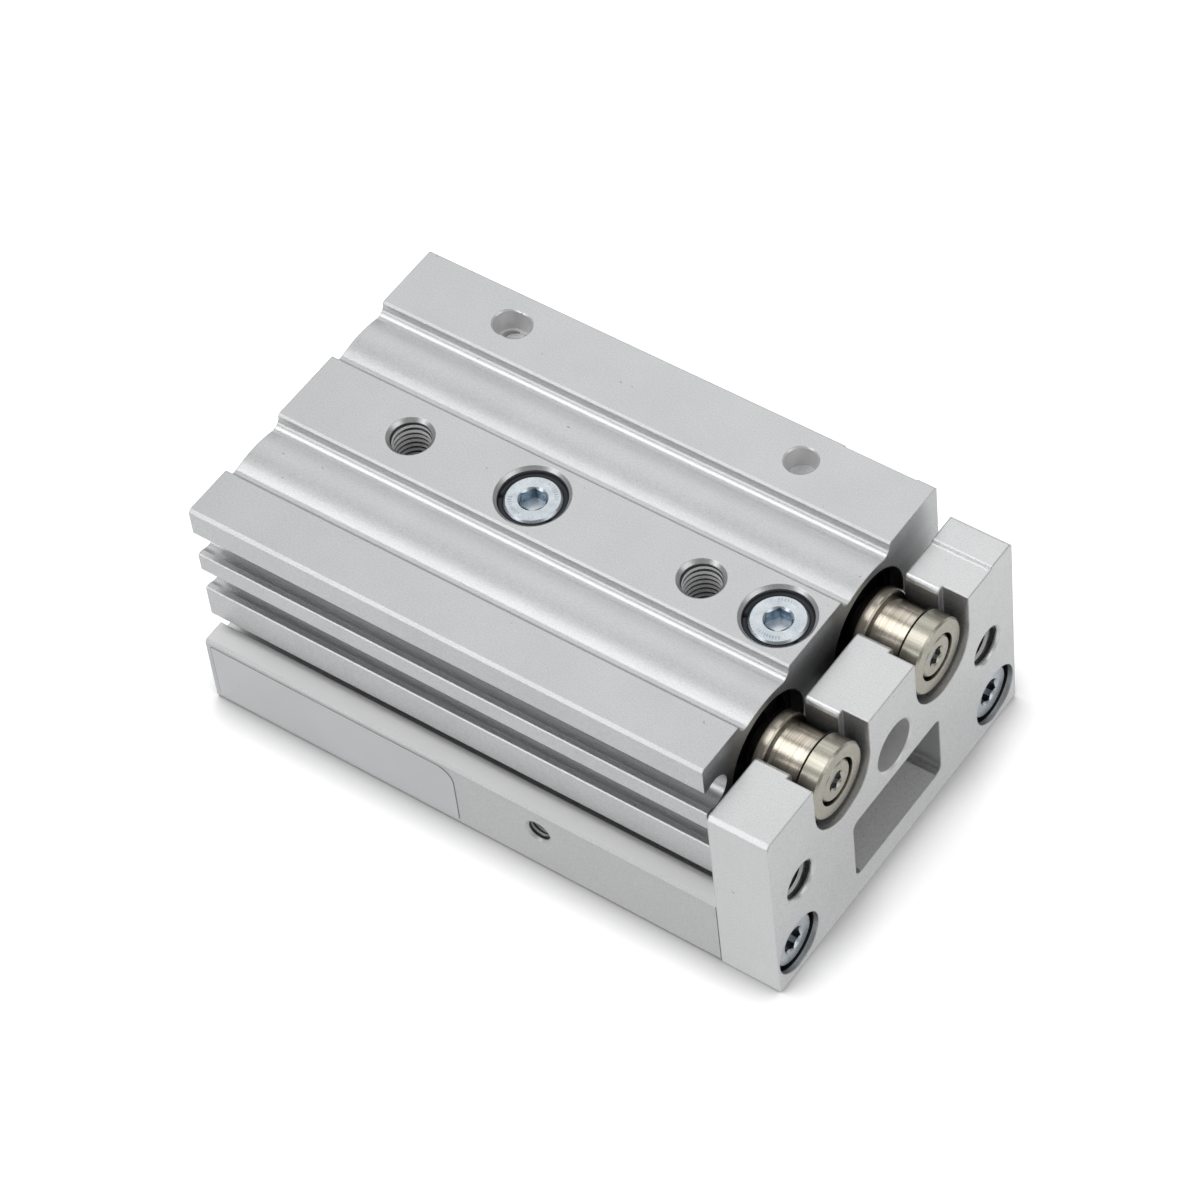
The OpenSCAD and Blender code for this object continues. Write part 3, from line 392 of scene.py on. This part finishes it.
anodised = grainedMetal("anodised_aluminium", anodisedLook)
milled = grainedMetal("milled_aluminium", milledLook)
plateMetal = grainedMetal("end_plate_aluminium", plateLook)
zinc = grainedMetal("zinc_plated_steel", zincLook)
ground = grainedMetal("ground_steel", groundLook)
champagne = turnedMetal("champagne_steel", champagneLook)
champagneFace = turnedMetal("champagne_face", champagneFaceLook)
chrome = turnedMetal("chromed_rod", chromeLook)
turned = turnedMetal("turned_aluminium", turnedLook)
spring = turnedMetal("phosphated_ring", springLook)
blackCover = darkMatt("black_cover", blackLook)
rubber = darkMatt("black_rubber", rubberLook)
screwGapShade = darkMatt("screw_gap_painted_shade", screwGapLook)
green = darkMatt("green_bumper", greenLook)
plastic = darkMatt("dark_plastic", plasticLook)
magnet = darkMatt("magnet", magnetLook)
wearRing = darkMatt("wear_ring", wearLook)

nodeFinish = {
    "cylinder_body": anodised, "rod_cover_near": blackCover, "rod_cover_far": blackCover,
    "cover_seal_rings": rubber, "rod_seals": rubber, "cover_retaining_rings": spring, "front_bumpers": green,
    "head_cap_near": turned, "head_cap_far": turned, "head_cap_seal_rings": rubber,
    "head_cap_retaining_rings": spring, "rear_bumpers": green, "guide_block": ground,
    "block_end_cap_rear": plastic, "block_end_cap_front": plastic, "block_wipers": rubber,
    "end_cap_screws": zinc, "guide_balls": chrome, "block_screws": zinc, "table": milled,
    "guide_rail": ground, "rail_screws": zinc, "end_plate": plateMetal, "end_plate_screws": zinc,
    "piston_rod_near": chrome, "piston_rod_far": chrome, "piston_near": turned, "piston_far": turned,
    "piston_seals": rubber, "piston_magnets": magnet, "piston_wear_rings": wearRing,
    "rod_collar_near": champagne, "rod_collar_far": champagne, "rod_disc_near": champagneFace,
    "rod_disc_far": champagneFace, "rod_end_screws": champagneFace,
}
for nodeName, finish in nodeFinish.items():
    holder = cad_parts[nodeName]
    holder.data.materials.clear()
    holder.data.materials.append(finish)
print("finishes on", len(nodeFinish), "of", len(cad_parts), "CAD nodes")


# Piece helpers
def pieceFrom(name, points, faces, material, body, smooth=True):
    data = bpy.data.meshes.new(name)
    data.from_pydata([tuple(p) for p in points], [], faces)
    made = bmesh.new()
    made.from_mesh(data)
    bmesh.ops.recalc_face_normals(made, faces=made.faces)
    made.to_mesh(data)
    made.free()
    for face in data.polygons:
        face.use_smooth = smooth
    data.materials.append(material)
    obj = bpy.data.objects.new(name, data)
    bpy.context.scene.collection.objects.link(obj)
    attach(obj, body)
    return obj


# Frame of a hole: origin at its mouth, first two axes across it, third one out of the mouth
def holeAxes(mouth, out):
    out = Vector(out)
    side = Vector((0, 0, 1)).cross(out) if abs(out.z) < 0.9 else Vector((1, 0, 0))
    side.normalize()
    return Vector(mouth), side, out.cross(side), out


skinCrease = 30  # degrees between faces from which a turned skin's edge is sharp


# Wall of a hole as a thin turned skin: its rows are (radius, depth below the mouth), and reach draws it out
# along its first axis
def turnedSkin(name, mouth, out, rows, material, body, reach=0, steps=72):
    origin, u, v, w = holeAxes(mouth, out)
    points, faces = [], []
    for k in range(steps):
        angle = 2 * math.pi * k / steps
        c, s = math.cos(angle), math.sin(angle)
        shift = reach if c > 0 else -reach
        for r, depth in rows:
            points.append(origin + u * (r * c + shift) + v * (r * s) - w * depth)
    count = len(rows)
    for k in range(steps):
        n = (k + 1) % steps
        for j in range(count - 1):
            faces.append((k * count + j, n * count + j, n * count + j + 1, k * count + j + 1))
    obj = pieceFrom(name, points, faces, material, body)
    creaseByAngle(obj, skinCrease)
    return obj


def creaseByAngle(obj, degrees):
    made = bmesh.new()
    made.from_mesh(obj.data)
    for edge in made.edges:
        edge.smooth = len(edge.link_faces) == 2 and edge.calc_face_angle(0) < math.radians(degrees)
    made.to_mesh(obj.data)
    made.free()


# Thread ridges
threads = {
    "flat": 0.48,        # share of the pitch that is flat at the crest
    "foot": 0.42,        # half width of a ridge at its foot, as a share of the pitch
    "tilt": 0.4,         # how much the crest leans to the mouth, as a share of the ridge's height
    "steps": 40,         # columns a turn
    "runIn": 0.6,        # turns over which the ridge grows
    "least": 0.02,       # height of the ridge where it starts, as a share of its full height
    "root": 0.994,       # radius of the wall behind the ridge, as a share of the hole's
    "past": 0.2,         # how far that wall goes past the ridge, as a share of the pitch
}


def threadRidge(name, mouth, out, radius, crest, pitch, start, end, material, body, slot):
    origin, u, v, w = holeAxes(mouth, out)
    turns = (end - start) / pitch
    columns = int(turns * threads["steps"])
    points, faces = [], []
    for i in range(columns + 1):
        turn = i / threads["steps"]
        grow = min(1, turn / threads["runIn"], (turns - turn) / threads["runIn"])
        inner = radius - (radius - crest) * max(threads["least"], grow)
        angle = 2 * math.pi * turn
        ring = u * math.cos(angle) + v * math.sin(angle)
        depth = start + turn * pitch
        half = pitch * threads["foot"]
        flat = pitch * threads["flat"] / 2
        lean = (radius - inner) * threads["tilt"]
        for r, shift in ((radius, -half), (inner + lean, -flat), (inner, flat), (radius, half)):
            points.append(origin + ring * r - w * (depth + shift))
    for i in range(columns):
        for j in range(3):
            a = i * 4 + j
            faces.append((a, a + 4, a + 5, a + 1))
    faces.append((0, 1, 2, 3))
    last = columns * 4
    faces.append((last, last + 1, last + 2, last + 3))
    obj = pieceFrom(name, points, faces, material, body, smooth=False)
    # Crest faces take the painted light, the flank faces the painted shade
    obj.data.materials.append(threadFlankShade)
    for i, polygon in enumerate(obj.data.polygons):
        polygon.material_index = 0 if i % 3 == 1 else 1
    root, past = radius * threads["root"], pitch * threads["past"]
    rows = [(root, start - past), (root, end + past)]
    turnedSkin(name + "_root", mouth, out, rows, threadFlankShade, body)
    return obj


# Thread crests painted near white as painted light, and flanks and the wall behind them near black as painted
# shade
threadLook = dict(anodisedLook, **{
    "dark": (0.92, 0.925, 0.93), "light": (0.98, 0.98, 0.98),
    "rough": 0.3, "metallic": 0.1, "edge": 0, "bump": 0.05,
    "crevice": 0, "grainTone": 0.1, "poreFrom": 0.95,
})
threadCrestLight = grainedMetal("thread_crest_painted_light", threadLook)
threadFlankShade = grainedMetal("thread_flank_painted_shade", dict(threadLook, **{
    "dark": (0.03, 0.03, 0.032), "light": (0.06, 0.06, 0.062),
}))
# Bare bored metal, made lighter as painted light against the shade inside the holes
boredLook = dict(threadLook, **{
    "dark": (0.70, 0.70, 0.705), "light": (0.90, 0.90, 0.905), "rough": 0.34, "metallic": 0.5,
    "brush": (0.3, 0.3, 1), "streak": 0.25 * mm, "streakTone": 0.4, "streakDepth": 0.5, "bump": 0.15,
})
boredPaintedLight = grainedMetal("bored_aluminium_painted_light", boredLook)
# Near white and matt: painted light on the floors of the locating holes
drilledCoreLight = grainedMetal("drilled_core_painted_light", dict(boredLook, **{
    "dark": (0.96, 0.96, 0.965), "light": (0.99, 0.99, 0.99), "metallic": 0, "streakTone": 0.02,
}))

m5 = {"radius": 2.49 * mm, "crest": 2.26 * mm, "pitch": 0.8 * mm}
m3 = {"radius": 1.49 * mm, "crest": 1.34 * mm, "pitch": 0.5 * mm}
# Depths at which each ridge starts and ends
ridgeSpan = {
    "body": (0.75 * mm, 9.6 * mm),
    "port": (0.8 * mm, 4.6 * mm),
    "side": (0.5 * mm, 5.7 * mm),
    "tooling": (0.7 * mm, 7.5 * mm),
}


def cutThread(name, mouth, out, size, span, body, material=threadCrestLight):
    threadRidge(name, mouth, out, size["radius"], size["crest"], size["pitch"], *span, material, body,
                "anodised_aluminium")


for i, x in enumerate(holes["bodyX"]):
    cutThread(f"body_thread_{i + 1}", (x, 0, bodyHigh.z), (0, 0, 1), m5, ridgeSpan["body"], "cylinder")
for i, x in enumerate(holes["portX"]):
    mouth = (x, bodyHigh.y, holes["boreZ"])
    cutThread(f"port_thread_{i + 1}", mouth, (0, 1, 0), m5, ridgeSpan["port"], "cylinder")
mouth = (holes["sideX"], tableLow.y, holes["sideZ"])
cutThread("side_thread", mouth, (0, -1, 0), m3, ridgeSpan["side"], "slide_table", boredPaintedLight)
for i, y in enumerate(holes["toolingY"]):
    mouth = (plateHigh.x, y, holes["toolingZ"])
    cutThread(f"tooling_thread_{i + 1}", mouth, (1, 0, 0), m5, ridgeSpan["tooling"], "slide_table")
print("threads cut")

# Bright walls of the reamed and bored holes, as rows of radius and depth: the bare metal made lighter as
# painted light, and a near-white core at each hole's bottom as painted light
reamedRows = [(2.12 * mm, 0), (1.985 * mm, 0.15 * mm), (1.985 * mm, 3.16 * mm)]
drilledRows = [(1.985 * mm, 3.16 * mm), (1.6 * mm, 3.17 * mm), (1.6 * mm, 3.5 * mm), (0.001 * mm, 3.6 * mm)]
drawnOut = (0.45 * mm, 0)  # to each side: the rear locating hole is elongated
for i, x in enumerate(holes["bodyX"]):
    mouth = (x, holes["locatingY"], bodyHigh.z)
    turnedSkin(f"reamed_wall_{i + 1}", mouth, (0, 0, 1), reamedRows, boredPaintedLight,
               "cylinder", drawnOut[i])
    turnedSkin(f"drilled_core_{i + 1}", mouth, (0, 0, 1), drilledRows, drilledCoreLight,
               "cylinder", drawnOut[i])
boreRows = [(3.55 * mm, 0), (3.335 * mm, 0.2 * mm), (3.335 * mm, 7.98 * mm)]
mouth = (plateHigh.x, 0, holes["centreZ"])
turnedSkin("centre_bore_wall", mouth, (1, 0, 0), boreRows, boredPaintedLight, "slide_table")
print("bored walls in")


# Label plate on the near side of the table
labelPlate = {
    "start": -39.9 * mm, "end": -4.2 * mm, "low": 0.9 * mm, "high": 9.9 * mm,
    "thick": 0.07 * mm, "corner": 2.2 * mm, "small": 0.3 * mm, "steps": 10,
    "edge": 0.6,        # height of the upright edge, as a share of the thickness
    "rim": 0.11 * mm,   # width of the slope inside it
}


def roundedPlate(name, look, face, material, body):
    outline = []
    corners = (
        (look["start"], look["low"], look["small"], 180),
        (look["end"], look["low"], look["small"], 270),
        (look["end"], look["high"], look["corner"], 0),
        (look["start"], look["high"], look["small"], 90),
    )
    for x, z, radius, first in corners:
        cx = x + radius if x == look["start"] else x - radius
        cz = z + radius if z == look["low"] else z - radius
        for k in range(look["steps"] + 1):
            angle = math.radians(first + 90 * k / look["steps"])
            outline.append((cx + radius * math.cos(angle), cz + radius * math.sin(angle)))
    count = len(outline)
    inset = look["rim"]
    midX = (look["start"] + look["end"]) / 2
    midZ = (look["low"] + look["high"]) / 2
    points = [(x, face, z) for x, z in outline]
    points += [(x, face - look["thick"] * look["edge"], z) for x, z in outline]
    for x, z in outline:
        toward = Vector((midX - x, midZ - z)).normalized() * inset
        points.append((x + toward.x, face - look["thick"], z + toward.y))
    faces = [tuple(range(2 * count, 3 * count))]
    for level in range(2):
        for k in range(count):
            n = (k + 1) % count
            a, b = level * count, (level + 1) * count
            faces.append((a + k, a + n, b + n, b + k))
    obj = pieceFrom(name, points, faces, material, body, smooth=False)
    obj.data.materials.append(labelRim)
    for polygon in obj.data.polygons[1:]:
        polygon.material_index = 1
    return obj


labelLook = dict(anodisedLook, **{
    "crevice": 0,
    "grain": 0.1 * mm, "grainTone": 0.1, "cloudTone": 0.12,
    "dark": (0.53, 0.54, 0.548), "light": (0.64, 0.648, 0.658),
    "rough": 0.34, "metallic": 0.6, "edge": 0, "bump": 0.12, "depth": 0.01 * mm,
})
labelMetal = grainedMetal("bare_label_foil", labelLook)
labelRim = grainedMetal("label_rim", dict(labelLook, **{
    "dark": (0.20, 0.20, 0.205), "light": (0.27, 0.27, 0.275),
}))
roundedPlate("label_plate", labelPlate, tableLow.y, labelMetal, "slide_table")
print("label plate on, left bare")


# Dark joint line where the table meets the end plate
jointLine = {
    "wide": 0.2 * mm, "proud": 0.04 * mm, "sunk": 0.05 * mm, "low": 0.3 * mm, "high": 10.55 * mm,
    "bevel": 0.006 * mm,
}


def thinBar(name, low, high, material, body):
    made = bmesh.new()
    bmesh.ops.create_cube(made, size=1)
    for vert in made.verts:
        vert.co = Vector(((low[i] + high[i]) / 2 + vert.co[i] * (high[i] - low[i])) for i in range(3))
    bmesh.ops.bevel(made, geom=made.edges[:], offset=jointLine["bevel"], segments=2, affect="EDGES")
    data = bpy.data.meshes.new(name)
    made.to_mesh(data)
    made.free()
    data.materials.append(material)
    obj = bpy.data.objects.new(name, data)
    bpy.context.scene.collection.objects.link(obj)
    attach(obj, body)
    return obj


thinBar("joint_line", (tableHigh.x - jointLine["wide"], tableLow.y - jointLine["proud"], jointLine["low"]),
        (tableHigh.x, tableLow.y + jointLine["sunk"], jointLine["high"]),
        plastic, "slide_table")

# Pale sheet on the floor of the window over the guide, lighter than the plate's metal: painted light
windowFloor = {"half": 7.9 * mm, "low": 3.5 * mm, "thick": 0.02 * mm, "inset": 0.05 * mm}
windowLightLook = dict(plateLook, **{
    "dark": (0.74, 0.74, 0.745), "light": (0.90, 0.90, 0.905), "metallic": 0.25, "edge": 0, "crevice": 0,
})
windowPaintedLight = grainedMetal("window_painted_light", windowLightLook)
thinBar("window_floor", (plateLow.x + windowFloor["inset"], -windowFloor["half"], windowFloor["low"]),
        (plateHigh.x - windowFloor["inset"], windowFloor["half"], windowFloor["low"] + windowFloor["thick"]),
        windowPaintedLight, "slide_table")
print("joint line and window floor in")


# Dark rings in the gaps round the block screws: painted shade, dipping at two places where the lighter walls
# show through as painted light
screwShadeRing = {
    "inner": 3.52 * mm, "outer": 4.17 * mm, "top": 0.24 * mm, "deep": 2.2 * mm,
    "bevel": 0.1 * mm, "innerDrop": 0.1 * mm, "outerDrop": 0.08 * mm,
    # Where the ring dips, the lighter walls show: painted light
    "notchDepth": 0.64 * mm, "notchAt": (200, 335), "notchHalf": 5, "steps": 120,
}


def ringPiece(name, centre, look, material, body):
    inner, outer = look["inner"], look["outer"]
    section = (
        (inner, -look["deep"]), (inner, -look["innerDrop"]), (inner + look["bevel"], 0),
        (outer - look["bevel"], 0), (outer, -look["outerDrop"]), (outer, -look["deep"]),
    )
    points, faces = [], []
    rows = len(section)
    for k in range(look["steps"]):
        degree = 360 * k / look["steps"]
        angle = math.radians(degree)
        dip = max(0, 1 - min(abs(degree - at) for at in look["notchAt"]) / look["notchHalf"])
        for r, z in section:
            fall = look["notchDepth"] * dip if z > -look["deep"] else 0
            points.append((centre.x + r * math.cos(angle), centre.y + r * math.sin(angle),
                           centre.z - look["top"] + z - fall))
    for k in range(look["steps"]):
        n = (k + 1) % look["steps"]
        for j in range(rows - 1):
            faces.append((k * rows + j, n * rows + j, n * rows + j + 1, k * rows + j + 1))
    return pieceFrom(name, points, faces, material, body)


headRadius = 3.5 * mm
blockScrewX = (screwLow.x + headRadius, screwHigh.x - headRadius)
for i, x in enumerate(blockScrewX):
    centre = Vector((x, 0, screwHigh.z))
    ringPiece(f"screw_shade_ring_{i + 1}", centre, screwShadeRing, screwGapShade, "cylinder")


# Walls and floors of the hexagon sockets: the walls are painted shade, tinted blue like the plating on the
# block screws and near black elsewhere, and the floors are painted light
socketWalls = {"start": 0.225 * mm, "share": 0.45, "gap": 0.02 * mm}
m4Socket = {"flats": 3 * mm, "head": 4 * mm}
rodSocket = {"flats": 2.2 * mm, "head": 1.8 * mm}


def socketSkin(name, centre, out, size, material, body):
    origin, u, v, w = holeAxes(centre, out)
    corner = (size["flats"] / 2 - socketWalls["gap"]) / math.cos(math.radians(30))
    deep = size["head"] * socketWalls["share"] - socketWalls["gap"]
    points, faces = [], []
    for depth in (socketWalls["start"], deep):
        for k in range(6):
            angle = math.radians(60 * k)
            across = u * (corner * math.cos(angle)) + v * (corner * math.sin(angle))
            points.append(origin + across - w * depth)
    faces += [(k, (k + 1) % 6, 6 + (k + 1) % 6, 6 + k) for k in range(6)]
    faces.append(tuple(range(6, 12)))
    obj = pieceFrom(name, points, faces, material, body, smooth=False)
    obj.data.materials.append(socketFloorLight)
    obj.data.polygons[6].material_index = 1
    return obj


blueLook = dict(zincLook, **{
    "dark": (0.06, 0.11, 0.17), "light": (0.32, 0.45, 0.56),
    "cloud": 0.9 * mm, "cloudTone": 0.45, "rough": 0.16, "edge": 0,
})
blueSocketShade = grainedMetal("socket_wall_painted_shade", blueLook)
socketFloorLight = grainedMetal("socket_floor_painted_light", dict(zincLook, **{
    "dark": (0.70, 0.74, 0.77), "light": (0.92, 0.94, 0.96), "metallic": 0.5,
}))
darkLook = dict(blueLook, **{"dark": (0.03, 0.035, 0.045), "light": (0.14, 0.16, 0.19)})
darkSocketShade = grainedMetal("dark_socket_painted_shade", darkLook)
for i, x in enumerate(blockScrewX):
    centre = (x, 0, screwHigh.z)
    socketSkin(f"block_socket_{i + 1}", centre, (0, 0, 1), m4Socket, blueSocketShade, "cylinder")
for i, y in enumerate(holes["clampY"]):
    centre = (clampHigh.x, y, holes["clampZ"])
    socketSkin(f"clamp_socket_{i + 1}", centre, (1, 0, 0), m4Socket, darkSocketShade, "slide_table")
for i, y in enumerate(holes["boreY"]):
    centre = (rodScrewHigh.x, y, holes["boreZ"])
    socketSkin(f"rod_socket_{i + 1}", centre, (1, 0, 0), rodSocket, darkSocketShade, "slide_table")

# Dark walls of the pockets round the plate's screws, and a dark ring on the edge behind each disc: both
# painted shade
pocketShadeRows = [(3.93 * mm, 0.7 * mm), (3.93 * mm, 4.7 * mm), (3.55 * mm, 4.75 * mm)]
for i, y in enumerate(holes["clampY"]):
    mouth = (plateHigh.x, y, holes["clampZ"])
    turnedSkin(f"pocket_shade_{i + 1}", mouth, (1, 0, 0), pocketShadeRows, blackCover,
               "slide_table")
seamShadeRows = [(4.66 * mm, 0), (4.92 * mm, -0.02 * mm), (4.92 * mm, -0.12 * mm), (4.7 * mm, -0.14 * mm)]
for i, y in enumerate(holes["boreY"]):
    mouth = (discLow.x, y, holes["boreZ"])
    turnedSkin(f"disc_seam_shade_{i + 1}", mouth, (1, 0, 0), seamShadeRows, blackCover,
               "slide_table")

# Small radial marks on the screw heads
headMarks = {
    "radius": 2.72 * mm, "length": 0.5 * mm, "width": 0.1 * mm, "high": 0.035 * mm, "taper": 0.55,
    "groups": ((30, 8), (205, 9)),  # first angle and count of each group
    "spread": 7.5,                  # degrees from one mark to the next
    "screwTurn": 40,                # degrees by which the second screw's marks are turned
}


def radialMarks(name, centre, out, degrees, look, material, body):
    origin, u, v, w = holeAxes(centre, out)
    points, faces = [], []
    for degree in degrees:
        angle = math.radians(degree)
        ray = u * math.cos(angle) + v * math.sin(angle)
        across = v * math.cos(angle) - u * math.sin(angle)
        base = len(points)
        for height, shrink in ((0, 1), (look["high"], look["taper"])):
            for a, b in ((-1, -1), (1, -1), (1, 1), (-1, 1)):
                points.append(origin + ray * (look["radius"] + a * look["length"] / 2 * shrink)
                              + across * (b * look["width"] / 2 * shrink) + w * height)
        faces += [tuple(base + n for n in quad) for quad in
                  ((4, 5, 6, 7), (0, 1, 5, 4), (1, 2, 6, 5), (2, 3, 7, 6), (3, 0, 4, 7))]
    return pieceFrom(name, points, faces, material, body, smooth=False)


markDegrees = [first + headMarks["spread"] * k for first, count in headMarks["groups"] for k in range(count)]
for i, x in enumerate(blockScrewX):
    centre = (x, 0, screwHigh.z)
    degrees = [d + headMarks["screwTurn"] * i for d in markDegrees]
    radialMarks(f"screw_marks_{i + 1}", centre, (0, 0, 1), degrees, headMarks, zinc,
                "cylinder")
print("screw rings and marks in")


# Floor, backdrop and light
def floorMaterial(look):
    mat = bpy.data.materials.new("pale_floor")
    mat.use_nodes = True
    tree = mat.node_tree
    tree.nodes.clear()
    out = tree.nodes.new("ShaderNodeOutputMaterial")
    dull = tree.nodes.new("ShaderNodeBsdfDiffuse")
    shine = tree.nodes.new("ShaderNodeEmission")
    both = tree.nodes.new("ShaderNodeAddShader")
    path = tree.nodes.new("ShaderNodeLightPath")
    mirrored = sums(tree, "MAXIMUM", path.outputs["Is Glossy Ray"], path.outputs["Is Transmission Ray"])
    # Painted shadow: near the part, the floor's glow seen by the camera fades with how hidden each point is
    close = tree.nodes.new("ShaderNodeAmbientOcclusion")
    close.samples = 16
    close.inputs["Distance"].default_value = look["shadeReach"]
    openness = ramp(tree, close.outputs["AO"], look["shadeFull"], look["shadeNone"], look["shadeLeft"], 1)
    direct = sums(tree, "MULTIPLY", path.outputs["Is Camera Ray"], openness)
    tree.links.new(sums(tree, "ADD", sums(tree, "MULTIPLY", mirrored, look["mirrorLift"]),
                        sums(tree, "MULTIPLY", direct, look["lift"])), shine.inputs["Strength"])
    mottle = noise(tree, place(tree), look["mottle"], detail=2)
    tree.links.new(blend(tree, mottle, look["dark"], look["light"]), dull.inputs["Color"])
    tree.links.new(dull.outputs[0], both.inputs[0])
    tree.links.new(shine.outputs[0], both.inputs[1])
    tree.links.new(both.outputs[0], out.inputs[0])
    return mat


floorLook = {
    "shadeReach": 6 * mm, "shadeFull": 0.5, "shadeNone": 0.98, "shadeLeft": 0,
    "lift": 0.66, "mirrorLift": 0.36, "below": 0.02 * mm,
    "mottle": 0.05, "dark": (0.79, 0.79, 0.79), "light": (0.81, 0.81, 0.81), "half": 3.0,
}

plane = bpy.data.meshes.new("floor")
reach = floorLook["half"]
corners = ((-reach, -reach, 0), (reach, -reach, 0), (reach, reach, 0), (-reach, reach, 0))
plane.from_pydata(corners, [], [(0, 1, 2, 3)])
plane.materials.append(floorMaterial(floorLook))
floor = bpy.data.objects.new("floor", plane)
floor.location.z = cadLow.z - floorLook["below"]
bpy.context.scene.collection.objects.link(floor)

lamps = {
    "overhead": {"from": (-0.41, -0.16, 0.90), "size": 0.62, "away": 1.0, "power": 2.75},
    "front_left": {"from": (-0.41, -0.78, 0.48), "size": 0.45, "away": 1.1, "power": 1.3},
    "front_right": {"from": (0.80, 0.10, 0.60), "size": 0.8, "away": 1.2, "power": 2.4},
    "behind": {"from": (-0.35, 0.60, 0.72), "size": 0.7, "away": 1.2, "power": 1.55},
}
for name, look in lamps.items():
    light = bpy.data.lights.new(name, "AREA")
    light.shape = "SQUARE"
    light.size = look["size"]
    light.energy = look["power"]
    lamp = bpy.data.objects.new(name, light)
    way = Vector(look["from"]).normalized()
    lamp.location = way * look["away"]
    lamp.rotation_mode = "QUATERNION"
    lamp.rotation_quaternion = way.to_track_quat("Z", "Y")
    bpy.context.scene.collection.objects.link(lamp)

# The camera sees the background, and the part is lit by the fill
room = {"fill": 0.35, "background": 1.0}
world = bpy.data.worlds.new("studio")
bpy.context.scene.world = world
world.use_nodes = True
tree = world.node_tree
tree.nodes.clear()
out = tree.nodes.new("ShaderNodeOutputWorld")
mixed = tree.nodes.new("ShaderNodeMixShader")
path = tree.nodes.new("ShaderNodeLightPath")
tree.links.new(path.outputs["Is Camera Ray"], mixed.inputs[0])
for slot, strength in ((1, room["fill"]), (2, room["background"])):
    white = tree.nodes.new("ShaderNodeBackground")
    white.inputs["Color"].default_value = (1, 1, 1, 1)
    white.inputs["Strength"].default_value = strength
    tree.links.new(white.outputs[0], mixed.inputs[slot])
tree.links.new(mixed.outputs[0], out.inputs[0])
bpy.context.scene.view_settings.view_transform = "Standard"
print("stage and lamps set")
